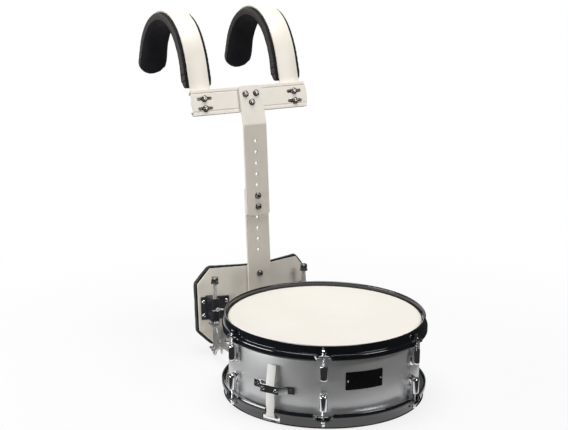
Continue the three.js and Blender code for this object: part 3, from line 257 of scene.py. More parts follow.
def turned(section, sides=160):
    """A closed section (radius, height) turned round the Z axis."""
    rings = []
    for side in range(sides):
        turn = 2 * pi * side / sides
        rings.append([(radius * cos(turn), radius * sin(turn), height) for radius, height in section])
    return skin(rings, along_closed=True)


def rounded(corners, steps=5, closed=True):
    """An outline through corners (a, b, radius), each rounded by its radius."""
    points = []
    for index, (a, b, radius) in enumerate(corners):
        here = Vector((a, b))
        if radius == 0 or (not closed and index in (0, len(corners) - 1)):
            points.append((a, b))
            continue
        before = (Vector(corners[index - 1][:2]) - here).normalized()
        after = (Vector(corners[(index + 1) % len(corners)][:2]) - here).normalized()
        half = before.angle(after) / 2
        centre = here + (before + after).normalized() * radius / sin(half)
        first = here + before * radius / tan(half) - centre
        last = here + after * radius / tan(half) - centre
        start, way = atan2(first.y, first.x), first.angle_signed(last)
        for step in range(steps + 1):
            turn = start - way * step / steps
            points.append((centre.x + radius * cos(turn), centre.y + radius * sin(turn)))
    return points


lacquer, lacquer_place = finish("satin_silver_lacquer", ior=1.5, coat_roughness=0.34)
brushed = grain(lacquer_place, 60, 4, (0.35, 0.35, 9))
flake = grain(lacquer_place, 1900, 2)
cloud = grain(lacquer_place, 9, 3)
silver = (brushed * 0.25 + cloud * 0.75).between(0.2, 0.8)
dress(lacquer, {
    "Base Color": silver.blend((0.57, 0.575, 0.585), (0.66, 0.665, 0.67)),
    "Metallic": 0.36 + flake * 0.20,
    "Roughness": 0.32 + brushed * 0.04 + cloud * 0.05,
    "Coat Weight": 0.35 + cloud * 0.1,
}, brushed * 0.3 + flake * 0.7, 0.06)

inner, crest = drum_radius - shell_wall, drum_radius - shell_wall + shell_edge
shell = build("lacquered_shell", turned(rounded([
    (inner, shell_edge - shell_half, 0.6), (crest, -shell_half, 0.5), (drum_radius, -shell_half, 0.8),
    (drum_radius, shell_half, 0.8), (crest, shell_half, 0.5), (inner, shell_half - shell_edge, 0.6),
], 3), 192), lacquer, drum)
seat(shell, "drum", "shell", "shell")


def station(angle, out=0.0):
    """Where X points out of the drum at an angle from its front, seen from above."""
    return drum @ Matrix.Rotation(radians(angle) - pi / 2, 4, "Z") @ Matrix.Translation((out, 0, 0))


chrome, chrome_place = finish("polished_chrome", base_color=(0.80, 0.81, 0.83, 1), metallic=1.0)
smudge = grain(chrome_place, 45, 4)
hairline = grain(chrome_place, 700, 2, (1, 1, 0.2))
dress(chrome, {
    "Base Color": smudge.between(0.35, 0.75).blend((0.80, 0.81, 0.83), (0.70, 0.71, 0.73)),
    "Roughness": 0.05 + smudge.between(0.45, 0.8) * 0.12,
}, hairline, 0.03, 0.0002)

vent = station(vent_angle, drum_radius) @ Matrix.Rotation(pi / 2, 4, "Y")
eyelet = build("vent_eyelet", turned(rounded([
    (3.3, -1.5, 0), (3.3, 1.2, 0.8), (7.0, 1.2, 0.5), (7.2, 0.1, 0), (4.4, -0.2, 0), (4.2, -1.5, 0),
], 4), 40), chrome, vent)
seat(eyelet, "drum", "chrome")


# Each head is a film drawn over the shell's edge and held in a metal flesh hoop. The
# upper one is coated cream film, the lower one a thin hazy film for the snares.
def head_skins(up):
    """The film and the flesh hoop of a head, above the middle or turned under it."""
    film = [
        (0, 70.75), (120, 70.75), (174.5, 70.7), (177.2, 70.55), (178.9, 69.9), (179.75, 68.6),
        (179.9, 66), (179.9, 56), (179.4, 56), (179.4, 66),
        (179.2, 68.4), (178.5, 69.4), (177.1, 70.1), (174.5, 70.3), (120, 70.35), (0, 70.35),
    ]
    flesh = rounded([(180.1, 53.4, 1.2), (186.9, 53.4, 1.6), (186.9, 59.4, 1.6), (180.1, 59.4, 1.2)], 3)
    return [turned([(radius, height * up) for radius, height in section], 192) for section in (film, flesh)]


coated, coated_place = finish("coated_cream_film", ior=1.46)
speckle = grain(coated_place, 1500, 3)
drift = grain(coated_place, 7, 3)
film_height = 70.7 * millimetre
from_middle = coated_place.node("Mapping", {}, {
    "Vector": coated_place, "Location": (-drum_middle.x, -drum_middle.y, -drum_middle.z - film_height)})
from_middle = coated_place.node("VectorMath", {"operation": "LENGTH"}, {0: from_middle}, out="Value")
worn = from_middle.between(0.015, 0.075, 1.0, 0.0) * grain(coated_place, 70, 4).between(0.35, 0.7)
coating = (speckle * 0.4 + drift * 0.6).between(0.3, 0.7).blend((0.862, 0.816, 0.738), (0.898, 0.857, 0.787))
dress(coated, {
    "Base Color": (worn * 0.10).blend(coating, (0.74, 0.72, 0.69)),
    "Roughness": 0.50 + speckle * 0.16,
}, speckle, 0.22, 0.0003)

hazy, hazy_place = finish("hazy_snare_film", ior=1.5)
haze = grain(hazy_place, 12, 3)
dress(hazy, {
    "Base Color": haze.blend((0.60, 0.61, 0.62), (0.72, 0.73, 0.73)),
    "Roughness": 0.24 + haze * 0.12,
}, haze, 0.05)

for word, up, film_finish in (("batter", 1, coated), ("snare", -1, hazy)):
    film_skin, flesh_skin = head_skins(up)
    film = build(f"{word}_film", film_skin, film_finish, drum, 60)
    seat(film, "drum", "film", f"{word}_head")
    seat(build(f"{word}_flesh_hoop", flesh_skin, chrome, drum), "drum", "chrome")


# The hoops are pressed from black steel: a small rim, an upright wall, a step and a skirt.
# Over each lug the skirt stays flat as an ear, and twists down to both sides of it. The
# lower hoop is the same, turned over, with two gates for the snare straps.
lug_count = 6
lug_angles = [30 + 360 / lug_count * index for index in range(lug_count)]
hoop_metal, hoop_top, hoop_wall, hoop_step, skirt_radius = 1.0, 76.8, 184.4, 60.8, 189.9
ear_half, skirt_from, ear_length, skirt_length = 8.0, 18.5, 6.3, 10.6
rod_circle, lug_apart = 190.5, 199.5


def beside(path, index):
    """The direction to the right of a path (a, b) at one of its points."""
    (a, b), (c, d) = path[max(index - 1, 0)], path[min(index + 1, len(path) - 1)]
    size = hypot(c - a, d - b)
    return (d - b) / size, (a - c) / size


def hoop_section(along):
    """The hoop's section at a distance along it from the nearest lug."""
    way = min(max((abs(along) - ear_half) / (skirt_from - ear_half), 0), 1)
    way = way * way * (3 - 2 * way)
    fall = max(radians(90) * way, radians(0.6))
    length = ear_length + (skirt_length - ear_length) * way
    path = rounded([
        (hoop_wall + 1.7, hoop_top, 0), (hoop_wall, hoop_top, 1.25), (hoop_wall, hoop_step, 2.3),
        (skirt_radius, hoop_step, 2.5 if way > 0.5 else 2.4),
        (skirt_radius + length * cos(fall), hoop_step - length * sin(fall), 0),
    ], 5, closed=False)
    outer, inward = [], []
    for index, (radius, height) in enumerate(path):
        right, down = [share * hoop_metal for share in beside(path, index)]
        outer.append((radius - right, height - down))
        inward.append((radius + right, height + down))
    end = (path[-1][0] - down, path[-1][1] + right)
    return outer + [end] + inward[::-1] + [(hoop_wall + 2.7, hoop_top)]


def hoop_skin(up):
    """The hoop round the drum, above the middle or turned under it."""
    places = []
    for lug_angle in lug_angles:
        close = [step * 1.5 for step in range(-15, 16)]
        far = [close[-1] + (lug_apart - 2 * close[-1]) * step / 16 for step in range(1, 16)]
        places += [(lug_angle + distance / rod_circle * 180 / pi, distance) for distance in close + far]
    rings = []
    for angle, along in places:
        turn = radians(angle) - pi / 2
        along = (along + lug_apart / 2) % lug_apart - lug_apart / 2
        section = hoop_section(along)
        rings.append([(radius * cos(turn), radius * sin(turn), height * up) for radius, height in section])
    return skin(rings, along_closed=True)


black, black_place = finish("gloss_black_coat", ior=1.8, coat_roughness=0.03)
orange_peel = grain(black_place, 520, 2)
dust = grain(black_place, 120, 5)
dress(black, {
    "Base Color": dust.between(0.55, 0.85).blend((0.0060, 0.0070, 0.0105), (0.018, 0.020, 0.025)),
    "Roughness": 0.11 + dust.between(0.5, 0.8) * 0.12,
}, orange_peel, 0.035, 0.0002)

batter_hoop = build("pressed_batter_hoop", hoop_skin(1), black, drum, 50)
snare_hoop = build("pressed_snare_hoop", hoop_skin(-1), black, drum, 50)
seat(batter_hoop, "drum", "hoop", "batter_hoop")
seat(snare_hoop, "drum", "hoop", "snare_hoop")


def applied(piece):
    """The piece's mesh with its modifiers in it."""
    return bpy.data.meshes.new_from_object(piece.evaluated_get(bpy.context.evaluated_depsgraph_get()))


def cut_away(piece, *tools):
    """Takes the tools' space out of a piece."""
    for tool in tools:
        change = piece.modifiers.new("cut", "BOOLEAN")
        change.operation, change.solver, change.object = "DIFFERENCE", "EXACT", tool
    whole, piece.data = piece.data, applied(piece)
    piece.modifiers.clear()
    bpy.data.meshes.remove(whole)
    for tool in tools:
        bpy.data.objects.remove(tool)


def slab(low, high, place):
    """A plain block between two corners, to cut with."""
    (x0, y0, z0), (x1, y1, z1) = low, high
    rings = [[(x0, y0, z), (x1, y0, z), (x1, y1, z), (x0, y1, z)] for z in (z0, z1)]
    return build("cutter", skin(rings), black, place)


butt_angle = -60
wall_gate, skirt_gate = ((182, -18, -73.8), (187.8, 18, -62.8)), ((187.2, -9.4, -64), (192, 9.4, -48))
for gate_angle in (butt_angle, butt_angle + 180):
    cut_away(snare_hoop, *[slab(*gate, station(gate_angle)) for gate in (wall_gate, skirt_gate)])
bore_radius, bore_depth = 3.6, 8
vent_bore = [(0, -bore_depth), (bore_radius, -bore_depth), (bore_radius, 3), (0, 3)]
cut_away(shell, build("cutter", turned(vent_bore, 32), chrome, vent))


# Tube lugs: a chromed barrel, bored at its open end and domed at the other, on a foot that
# follows the shell. One is turned and carried round the shell, six above and six below.
lug_end, lug_low, lug_radius = 41.7, 11.7, 7.5
bore_low, foot_out, foot_curve = lug_end - 22, 12.0, 360
corner_cut = {4: 1.36, 6: 1.13}


def turned_shape(levels, sides=32):
    """A bar turned round Z from (radius, height, corners): 0 corners is round, 4 square, 6 a hexagon."""
    rings = []
    for radius, height, corners in levels:
        ring = []
        for side in range(sides):
            turn = 2 * pi * side / sides
            reach = radius
            if corners:
                part = 2 * pi / corners
                reach = min(radius / cos((turn + part / 2) % part - part / 2), radius * corner_cut[corners])
            ring.append((reach * cos(turn), reach * sin(turn), height))
        rings.append(ring)
    return skin(rings)


def oblong(left, right, low, high, radius, steps):
    """The outline of a rectangle with rounded corners."""
    corners = ((left, low), (right, low), (right, high), (left, high))
    return rounded([(*corner, radius) for corner in corners], steps)


def lug_skins():
    """The barrel and the foot of one lug, with its rod's axis upright through the origin."""
    section = []
    for angle in range(0, 91, 10):
        rise = lug_radius * (1 - cos(radians(angle))) * 0.8
        section.append((lug_radius * sin(radians(angle)), lug_low + rise))
    section += [(lug_radius, lug_low + 6.5), (lug_radius, lug_end - 1.6), (lug_radius, lug_end - 1.0),
                (lug_radius - 0.3, lug_end - 0.3), (lug_radius - 1, lug_end), (3.7, lug_end),
                (3.2, lug_end - 0.5), (3.1, bore_low), (0, bore_low)]
    foot = []
    for inset, out in ((0.9, -1.2), (0, -0.2), (0, 5.5), (0.6, 9.5), (1.6, foot_out)):
        fall = (out / foot_out) ** 2 * 2.4 if out > 0 else 0
        half, low, high = 6.4 - inset, lug_low - 2.2 + inset + fall, lug_low + 17.5 - inset - fall
        from_rod, outline = drum_radius - rod_circle + 0.3 + out, oblong(-half, half, low, high, 2.4, 4)
        foot.append([(from_rod - y * y / foot_curve, y, z) for y, z in outline])
    return turned(section, 48), skin(foot)


def gather(name, material, place, *skins, sharp=crease):
    """One piece from several skins."""
    points, faces = [], []
    for some, over in skins:
        faces += [tuple(len(points) + index for index in face) for face in over]
        points += list(some)
    return build(name, (points, faces), material, place, sharp)


def geometry_tree(name, sockets):
    """A Geometry Nodes tree, its named inputs, and a way to add linked nodes for their outputs."""
    tree = bpy.data.node_groups.new(name, "GeometryNodeTree")
    for label, kind in sockets:
        tree.interface.new_socket(label, in_out="INPUT", socket_type="NodeSocket" + kind)
    tree.interface.new_socket("Geometry", in_out="OUTPUT", socket_type="NodeSocketGeometry")
    given = tree.nodes.new("NodeGroupInput")

    def add(kind, settings=None, values=None, out=0):
        made = tree.nodes.new(kind)
        for key, value in (settings or {}).items():
            setattr(made, key, value)
        for key, value in (values or {}).items():
            if isinstance(value, bpy.types.NodeSocket):
                tree.links.new(value, made.inputs[key])
            else:
                made.inputs[key].default_value = value
        return made.outputs[out] if made.outputs else None

    return tree, given.outputs, add


def close_tree(add, geometry, material):
    """Ends a tree in Realize Instances and Set Material."""
    real = add("GeometryNodeRealizeInstances", {}, {0: geometry})
    add("NodeGroupOutput", {}, {0: add("GeometryNodeSetMaterial", {}, {0: real, "Material": material})})


def grow(name, tree, inputs, mesh=None):
    """Runs a tree on a mesh and keeps the result as a plain piece at the origin."""
    seed = bpy.data.objects.new(name, mesh or bpy.data.meshes.new(name + "_seed"))
    scene.collection.objects.link(seed)
    modifier = seed.modifiers.new("nodes", "NODES")
    modifier.node_group = tree
    for socket in tree.interface.items_tree:
        if socket.in_out == "INPUT" and socket.name in inputs:
            modifier[socket.identifier] = inputs[socket.name]
    made = applied(seed)
    seed.modifiers.clear()
    seed.data = made
    made.name = name
    made.shade_smooth()
    made.set_sharp_from_angle(angle=radians(crease))
    return seed


lug_tree, given, add = geometry_tree("lugs_round_shell", [
    ("Geometry", "Geometry"), ("Lug", "Object"), ("Count", "Int"), ("Circle", "Float"), ("First", "Float"),
    ("Middle", "Vector"), ("Finish", "Material")])
lug_shape = add("GeometryNodeObjectInfo", {}, {"Object": given["Lug"]}, out="Geometry")
circle = add("GeometryNodeMeshCircle", {}, {"Vertices": given["Count"], "Radius": given["Circle"]})
one_step = add("ShaderNodeMath", {"operation": "DIVIDE"}, {0: 2 * pi, 1: given["Count"]})
turn = add("ShaderNodeMath", {"operation": "MULTIPLY"}, {0: add("GeometryNodeInputIndex"), 1: one_step})
both = add("GeometryNodeJoinGeometry")
for over in (0, pi):
    facing = add("ShaderNodeCombineXYZ", {}, {"X": over, "Z": turn})
    row = add("GeometryNodeInstanceOnPoints", {}, {
        "Points": circle, "Instance": lug_shape, "Rotation": facing})
    lug_tree.links.new(row, both.node.inputs[0])
spin = add("ShaderNodeCombineXYZ", {}, {"Z": given["First"]})
placed = add("GeometryNodeTransform", {}, {0: both, "Translation": given["Middle"], "Rotation": spin})
close_tree(add, placed, given["Finish"])

one_lug = gather("one_lug", chrome, millimetres, *lug_skins())
lugs = grow("lugs", lug_tree, {
    "Lug": one_lug, "Count": lug_count, "Circle": rod_circle * millimetre,
    "First": radians(lug_angles[0]) - pi / 2, "Middle": drum_middle, "Finish": chrome})
bpy.data.objects.remove(one_lug)
lug_nodes = [f"lug_{row}_{index + 1}" for row in ("upper", "lower") for index in range(lug_count)]
seat(lugs, "drum", "chrome", *lug_nodes)


# Tension rods: threaded steel rods with a collar and a square key head, and a loose washer
# on the ear. The thread runs from under the ear into the lug.
def thread(radius, low, high, pitch, depth, sides=18, steps=5):
    """Rings of a screw thread round Z."""
    rings = []
    for level_index in range(int((high - low) / pitch * steps) + 1):
        height = low + pitch * level_index / steps
        ring = []
        for side in range(sides):
            turn = 2 * pi * side / sides
            wave = abs(((height / pitch - turn / (2 * pi)) % 1) * 2 - 1)
            reach = radius - depth * wave
            ring.append((reach * cos(turn), reach * sin(turn), height))
        rings.append(ring)
    return skin(rings)


ear_top, rod_radius, rod_pitch, rod_cut = 61.8, 2.75, 1.06, 0.32
rod_low, rod_high = lug_end - 18, ear_top - 2.4
first_turn, next_turn, turned_over = 17, 61, 35
key_levels = [(2.6, 58, 0)] + [(radius, ear_top + up, corners) for radius, up, corners in (
    (2.6, 0.3, 0), (4.5, 0.3, 0), (4.9, 0.6, 0), (4.9, 1.2, 0), (4.6, 1.5, 0), (3.2, 1.5, 0),
    (3.4, 1.7, 0), (3.8, 2.2, 0), (3.8, 3.4, 0), (3.5, 3.9, 0), (2.5, 3.9, 4), (2.7, 4.2, 4),
    (2.7, 8.9, 4), (2.4, 9.5, 4), (1.6, 9.7, 4), (0.1, 9.7, 4))]
for index, angle in enumerate(lug_angles):
    for row, over in (("upper", 0), ("lower", pi)):
        name = f"tension_rod_{row}_{index + 1}"
        place = station(angle) @ Matrix.Rotation(over, 4, "X") @ Matrix.Translation((rod_circle, 0, 0))
        key_turn = Matrix.Rotation(radians(first_turn + next_turn * index + turned_over * over), 4, "Z")
        rod = gather(f"threaded_{name}", chrome, place @ key_turn, turned_shape(key_levels),
                     thread(rod_radius, rod_low, rod_high, rod_pitch, rod_cut), sharp=45)
        seat(rod, name, "chrome", name)


# The badge is a thin black plate bent to the shell and held by two small rivets. Its face
# is left plain.
def plate(outlines, thick, edge, axis=0, cuts=()):
    """A flat plate with holes, its edges rounded, cut at places along an axis where it bends."""
    curve = bpy.data.curves.new("outline", "CURVE")
    curve.dimensions, curve.fill_mode = "2D", "BOTH"
    curve.extrude, curve.bevel_depth, curve.bevel_resolution, curve.offset = thick / 2 - edge, edge, 1, -edge
    for outline in outlines:
        line = curve.splines.new("POLY")
        line.points.add(len(outline) - 1)
        for point, (x, y) in zip(line.points, outline):
            point.co = (x, y, 0, 1)
        line.use_cyclic_u = True
    holder = bpy.data.objects.new("outline", curve)
    scene.collection.objects.link(holder)
    mesh = applied(holder)
    bpy.data.objects.remove(holder)
    shape = bmesh.new()
    shape.from_mesh(mesh)
    bmesh.ops.remove_doubles(shape, verts=shape.verts, dist=1e-4)
    across = Vector([float(axis == other) for other in range(3)])
    for spot in cuts:
        everything = shape.verts[:] + shape.edges[:] + shape.faces[:]
        bmesh.ops.bisect_plane(shape, geom=everything, plane_co=across * spot, plane_no=across)
    shape.verts.index_update()
    points = [tuple(vertex.co) for vertex in shape.verts]
    faces = [tuple(vertex.index for vertex in face.verts) for face in shape.faces]
    shape.free()
    return points, faces


def round_hole(up, radius):
    """The outline of a hole on a plate's middle line."""
    turns = [2 * pi * side / 24 for side in range(24)]
    return [(radius * cos(turn), up + radius * sin(turn)) for turn in turns]


def mapped(surface, move):
    """The same skin with each point moved by a rule."""
    points, faces = surface
    return [move(*point) for point in points], faces


glossy_plate, glossy_place = finish("glossy_black_plate", ior=1.5)
film_dust = grain(glossy_place, 260, 4)
dress(glossy_plate, {
    "Base Color": film_dust.between(0.5, 0.8).blend((0.006, 0.006, 0.007), (0.014, 0.014, 0.015)),
    "Roughness": 0.12 + film_dust * 0.14,
}, film_dust, 0.02, 0.0002)

badge_angle, badge_radius, badge_thick = -5.9, drum_radius + 0.6, 0.6
badge_half, badge_low, badge_high = 36, -9.3, 24.2
rivet_out, rivet_up = 32, 7.45


def on_badge(out, along, up):
    """A place out of the badge's middle, along its bend and up."""
    turn = along / badge_radius
    return (badge_radius + out) * cos(turn), (badge_radius + out) * sin(turn), up


badge_flat = plate([oblong(-badge_half, badge_half, badge_low, badge_high, 1.2, 4)], badge_thick, 0.2,
                   0, range(3 - badge_half, badge_half, 3))
badge_skin = mapped(badge_flat, lambda x, y, z: on_badge(z, x, y))
seat(build("bare_badge", badge_skin, glossy_plate, station(badge_angle)), "drum", "badge", "badge")
rivet = turned_shape([(1.8, 0, 0), (1.8, 0.3, 0), (1.5, 0.75, 0), (0.9, 1.05, 0), (0.05, 1.15, 0)], 20)
rivets = gather("badge_rivets", chrome, station(badge_angle), *[
    mapped(rivet, lambda x, y, z: on_badge(badge_thick / 2 + z, side * rivet_out + y, rivet_up + x))
    for side in (-1, 1)])
seat(rivets, "drum", "chrome")


# The snares: at the butt end a bridge and a clamp plate hold a strip of white plastic that
# runs through the gate to the wires. Opposite, the throw-off's block holds the other strap.
def eased(node, body, material, slot, width, steps=2, sharp=34, merged=True):
    """A CAD node's own shape with its edges eased, in a finish."""
    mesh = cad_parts[node].data.copy()
    mesh.name = node + "_eased"
    shape = bmesh.new()
    shape.from_mesh(mesh)
    bmesh.ops.remove_doubles(shape, verts=shape.verts, dist=5e-6)
    if merged:
        bmesh.ops.dissolve_limit(shape, angle_limit=radians(1), verts=shape.verts, edges=shape.edges)
    shape.to_mesh(mesh)
    shape.free()
    mesh.materials.clear()
    mesh.materials.append(material)
    mesh.shade_smooth()
    mesh.set_sharp_from_angle(angle=radians(sharp))
    piece = bpy.data.objects.new(node + "_eased", mesh)
    scene.collection.objects.link(piece)
    ease = piece.modifiers.new("eased_edges", "BEVEL")
    ease.width, ease.segments, ease.use_clamp_overlap = width * millimetre, steps, True
    ease.limit_method, ease.angle_limit = "ANGLE", radians(sharp)
    even = piece.modifiers.new("even_shading", "WEIGHTED_NORMAL")
    even.mode, even.weight, even.keep_sharp = "FACE_AREA", 100, True
    seat(piece, body, slot, node)
    return piece


eased("butt_plate", "drum", chrome, "chrome", 0.4)
eased("butt_clamp", "drum", chrome, "chrome", 0.3)


def ribbon_skin(path, half_width, thick, edge):
    """A flat strip along a path (out, up), with rounded edges, across the Y axis."""
    rings, section = [], oblong(-half_width, half_width, 0, thick, edge, 2)
    for index, (out, up) in enumerate(path):
        right, down = beside(path, index)
        rings.append([(out + right * depth, across, up + down * depth) for across, depth in section])
    return skin(rings)


strip, strip_place = finish("white_plastic_strip", ior=1.48)
ribs = strip_place.node("TexWave", {"wave_type": "BANDS", "bands_direction": "DIAGONAL"}, {
    "Vector": strip_place, "Scale": 260, "Distortion": 0.6, "Detail": 1})
milky = grain(strip_place, 60, 3)
dress(strip, {
    "Base Color": milky.between(0.3, 0.7).blend((0.90, 0.895, 0.87), (0.95, 0.945, 0.93)),
    "Roughness": 0.30 + milky * 0.15,
}, ribs * 0.3 + milky * 0.7, 0.10, 0.0003)

strip_half, strip_thick = 8.75, 0.8
strip_high = rounded([
    (184.4, 30.5, 0), (189.8, -5.5, 6), (189.8, -21.5, 6), (188.6, -49.3, 0)], 4, closed=False)
strip_low = rounded([
    (188.6, -49.3, 0), (188.6, -63.1, 3), (186.1, -68.8, 3), (177.8, -73.05, 3), (166, -73.5, 0),
    (150, -73.5, 0)], 3, closed=False)
strip_skin = ribbon_skin(strip_high + strip_low[1:], strip_half, strip_thick, 0.3)
seat(build("plastic_strip", strip_skin, strip, station(butt_angle)), "drum", "strap", "butt_strap")

steel_wire, wire_place = finish("drawn_steel_wire", metallic=1.0, base_color=(0.62, 0.62, 0.64, 1))
drawn = grain(wire_place, 300, 3)
dress(steel_wire, {
    "Base Color": drawn.blend((0.50, 0.50, 0.52), (0.70, 0.70, 0.71)),
    "Roughness": 0.18 + drawn * 0.15,
}, drawn, 0.05, 0.0002)

wire_tree, given, add = geometry_tree("coiled_snare_wires", [
    ("Geometry", "Geometry"), ("Strands", "Int"), ("Pitch", "Float"), ("Run", "Float"), ("Coil", "Float"),
    ("Turns", "Float"), ("Wire", "Float"), ("Finish", "Material")])
coil = add("GeometryNodeCurveSpiral", {}, {
    "Resolution": 7, "Rotations": given["Turns"], "Start Radius": given["Coil"], "End Radius": given["Coil"],
    "Height": given["Run"]})
back_half = add("ShaderNodeMath", {"operation": "MULTIPLY"}, {0: given["Run"], 1: -0.5})
to_end = add("ShaderNodeCombineXYZ", {}, {"X": back_half})
lying = add("GeometryNodeTransform", {}, {0: coil, "Rotation": (0, pi / 2, 0), "Translation": to_end})
round_wire = add("GeometryNodeCurvePrimitiveCircle", {}, {"Resolution": 3, "Radius": given["Wire"]})
strand = add("GeometryNodeCurveToMesh", {}, {0: lying, 1: round_wire})
gaps = add("ShaderNodeMath", {"operation": "SUBTRACT"}, {0: given["Strands"], 1: 1.0})
spread = add("ShaderNodeMath", {"operation": "MULTIPLY"}, {0: gaps, 1: given["Pitch"]})
first_side = add("ShaderNodeMath", {"operation": "MULTIPLY"}, {0: spread, 1: -0.5})
start_at = add("ShaderNodeCombineXYZ", {}, {"Y": first_side})
step_by = add("ShaderNodeCombineXYZ", {}, {"Y": given["Pitch"]})
line = add("GeometryNodeMeshLine", {"mode": "OFFSET"}, {
    "Count": given["Strands"], "Start Location": start_at, "Offset": step_by})
strands = add("GeometryNodeInstanceOnPoints", {}, {"Points": line, "Instance": strand})
close_tree(add, strands, given["Finish"])

wire_reach, wire_bed, end_length, end_half = 150.0, -71.65, 16, 20
coils = grow("coiled_wires", wire_tree, {
    "Strands": 20, "Pitch": 2.0, "Run": 2 * wire_reach, "Coil": 0.5, "Turns": 100.0, "Wire": 0.15,
    "Finish": steel_wire})
coils.data.transform(station(butt_angle) @ Matrix.Translation((0, 0, wire_bed)))
seat(coils, "drum", "wire", "snare_wires")
end_plate = plate([oblong(wire_reach, wire_reach + end_length, -end_half, end_half, 1.5, 3)], 1.7, 0.3)
for side, word in ((-1, "far"), (1, "near")):
    end_skin = mapped(end_plate, lambda x, y, z: (side * x, y, z + wire_bed))
    seat(build(f"wire_plate_{word}", end_skin, steel_wire, station(butt_angle)), "drum", "wire")

clamp_line = drum_middle.z - 0.0163
eased("strainer_body", "drum", chrome, "chrome", 0.6, 3)
slide = eased("strainer_slide", "strainer_slide", chrome, "chrome", 0.25)
slide.data.materials.append(strip)
for face in slide.data.polygons:
    face.material_index = int(face.center.z < clamp_line)
eased("strainer_lever", "strainer_lever", chrome, "chrome", 0.8, 3)
eased("tension_knob", "tension_knob", chrome, "chrome", 0.3)


# The carrier: aluminium bars, bands and a belly plate in cream powder coat. The bars lean
# back from the drum, and the upper one is bent further back where it meets the crossbar.
carrier_angle, yoke_angle, carrier_gap, carrier_up, bar_bend = radians(5.7), radians(18.5), 82.2, 122.2, 256.3
carrier_foot = Matrix.Translation((0, drum_radius + carrier_gap, carrier_up))
carrier = drum @ carrier_foot @ Matrix.Rotation(-carrier_angle, 4, "X")
yoke = carrier @ Matrix.Translation((0, 0, bar_bend)) @ Matrix.Rotation(carrier_angle - yoke_angle, 4, "X")

paint, paint_place = finish("cream_powder_coat", ior=1.5, coat_roughness=0.30)
peel = grain(paint_place, 620, 2)
patch = grain(paint_place, 11, 3)
scuff = grain(paint_place, 240, 5, (1, 1, 0.15)).between(0.72, 0.84)
cream = patch.between(0.3, 0.7).blend((0.800, 0.745, 0.655), (0.842, 0.790, 0.703))
dress(paint, {
    "Base Color": (scuff * 0.35).blend(cream, (0.60, 0.56, 0.50)),
    "Roughness": 0.36 + peel * 0.10 + scuff * 0.12,
    "Coat Weight": 0.55 - scuff * 0.4,
}, peel, 0.10, 0.0003)

bar_half, bar_thick, bar_edge, bend_radius = 25, 5, 0.5, 24.0
upper_foot, upper_top, lower_foot, lower_top = 78.4, bar_bend + 78, -130, 130.6
hole_top, hole_pitch, hole_radius, belly_hole = 115.1, 21.8, 3.2, -112


def bend_bar(x, y, z):
    """The flat bar's point, bent back above the bend with a small radius."""
    limit, depth = yoke_angle - carrier_angle, bar_thick / 2 - z
    reach = bend_radius * limit
    over = y - (bar_bend - reach / 2)
    if over <= 0:
        return x, depth, y
    turn = min(over / reach, 1) * limit
    straight = max(over - reach, 0)
    back = bend_radius * (1 - cos(turn)) + straight * sin(turn)
    up = bar_bend - reach / 2 + bend_radius * sin(turn) + straight * cos(turn)
    return x, back + depth * cos(turn), up - depth * sin(turn)


upper_outline = rounded([(-bar_half, upper_foot, 3), (0, upper_foot - 4.4, 60), (bar_half, upper_foot, 3),
                         (bar_half, upper_top, 9), (-bar_half, upper_top, 9)], 8)
upper_holes = [round_hole(hole_top + hole_pitch * step, hole_radius) for step in range(-1, 6)]
bend_cuts = [bar_bend + step for step in range(-3, 4)]
upper_skin = mapped(plate([upper_outline] + upper_holes, bar_thick, bar_edge, 1, bend_cuts), bend_bar)
seat(build("bent_upper_bar", upper_skin, paint, carrier, 20), "carrier", "paint", "upper_bar")
lower_rows = [hole_top - hole_pitch * step for step in range(6)] + [belly_hole]
lower_flat = plate([oblong(-bar_half, bar_half, lower_foot, lower_top, 2.5, 4)]
                   + [round_hole(up, hole_radius) for up in lower_rows], bar_thick, bar_edge)
lower_skin = mapped(lower_flat, lambda x, y, z: (x, bar_thick * 1.5 + 0.3 - z, y))
seat(build("flat_lower_bar", lower_skin, paint, carrier, 20), "carrier", "paint", "lower_bar")

wing_angle, wing_flat, fold_half, plate_front, plate_thick = radians(16.5), 26.0, 4, 10.6, 3
belly_corners = [(-97, -176), (97, -176), (122, -149.5), (122, -55.5),
                 (97, -25), (-97, -25), (-122, -55.5), (-122, -149.5)]


def wing_shift(x):
    """How far the plate's wing stands back at a place across it, with the fold rounded."""
    over = abs(x) - wing_flat
    if over < -fold_half:
        return 0
    return tan(wing_angle) * ((over + fold_half) ** 2 / (4 * fold_half) if over < fold_half else over)


belly_outline = rounded([(x, up, 2) for x, up in belly_corners], 3)
fold_cuts = [side * (wing_flat - 4.5 + step) for step in range(10) for side in (-1, 1)]
belly_flat = plate([belly_outline, round_hole(belly_hole, hole_radius)], plate_thick, 0.5, 0, fold_cuts)
belly_skin = mapped(belly_flat, lambda x, y, z: (x, plate_front + plate_thick / 2 - z + wing_shift(x), y))
seat(build("folded_belly_plate", belly_skin, paint, carrier, 20), "carrier", "paint", "belly_plate")
eased("crossbar", "carrier", paint, "paint", 0.45)


def trace(runs):
    """A path up from a band's foot, of straight runs (length,) and bends to the right (radius, angle)."""
    straight_part, bend_part = 12, 2
    across, up = band_foot
    points, turn = [band_foot], pi / 2
    for run in runs:
        if len(run) == 1:
            parts = max(int(run[0] / straight_part), 1)
            for _ in range(parts):
                across, up = across + run[0] / parts * cos(turn), up + run[0] / parts * sin(turn)
                points.append((across, up))
            continue
        radius, angle = run
        parts = ceil(angle / bend_part)
        half_bend = radians(angle) / parts / 2
        for _ in range(parts):
            turn -= half_bend
            across += 2 * radius * sin(half_bend) * cos(turn)
            up += 2 * radius * sin(half_bend) * sin(turn)
            turn -= half_bend
            points.append((across, up))
    return points


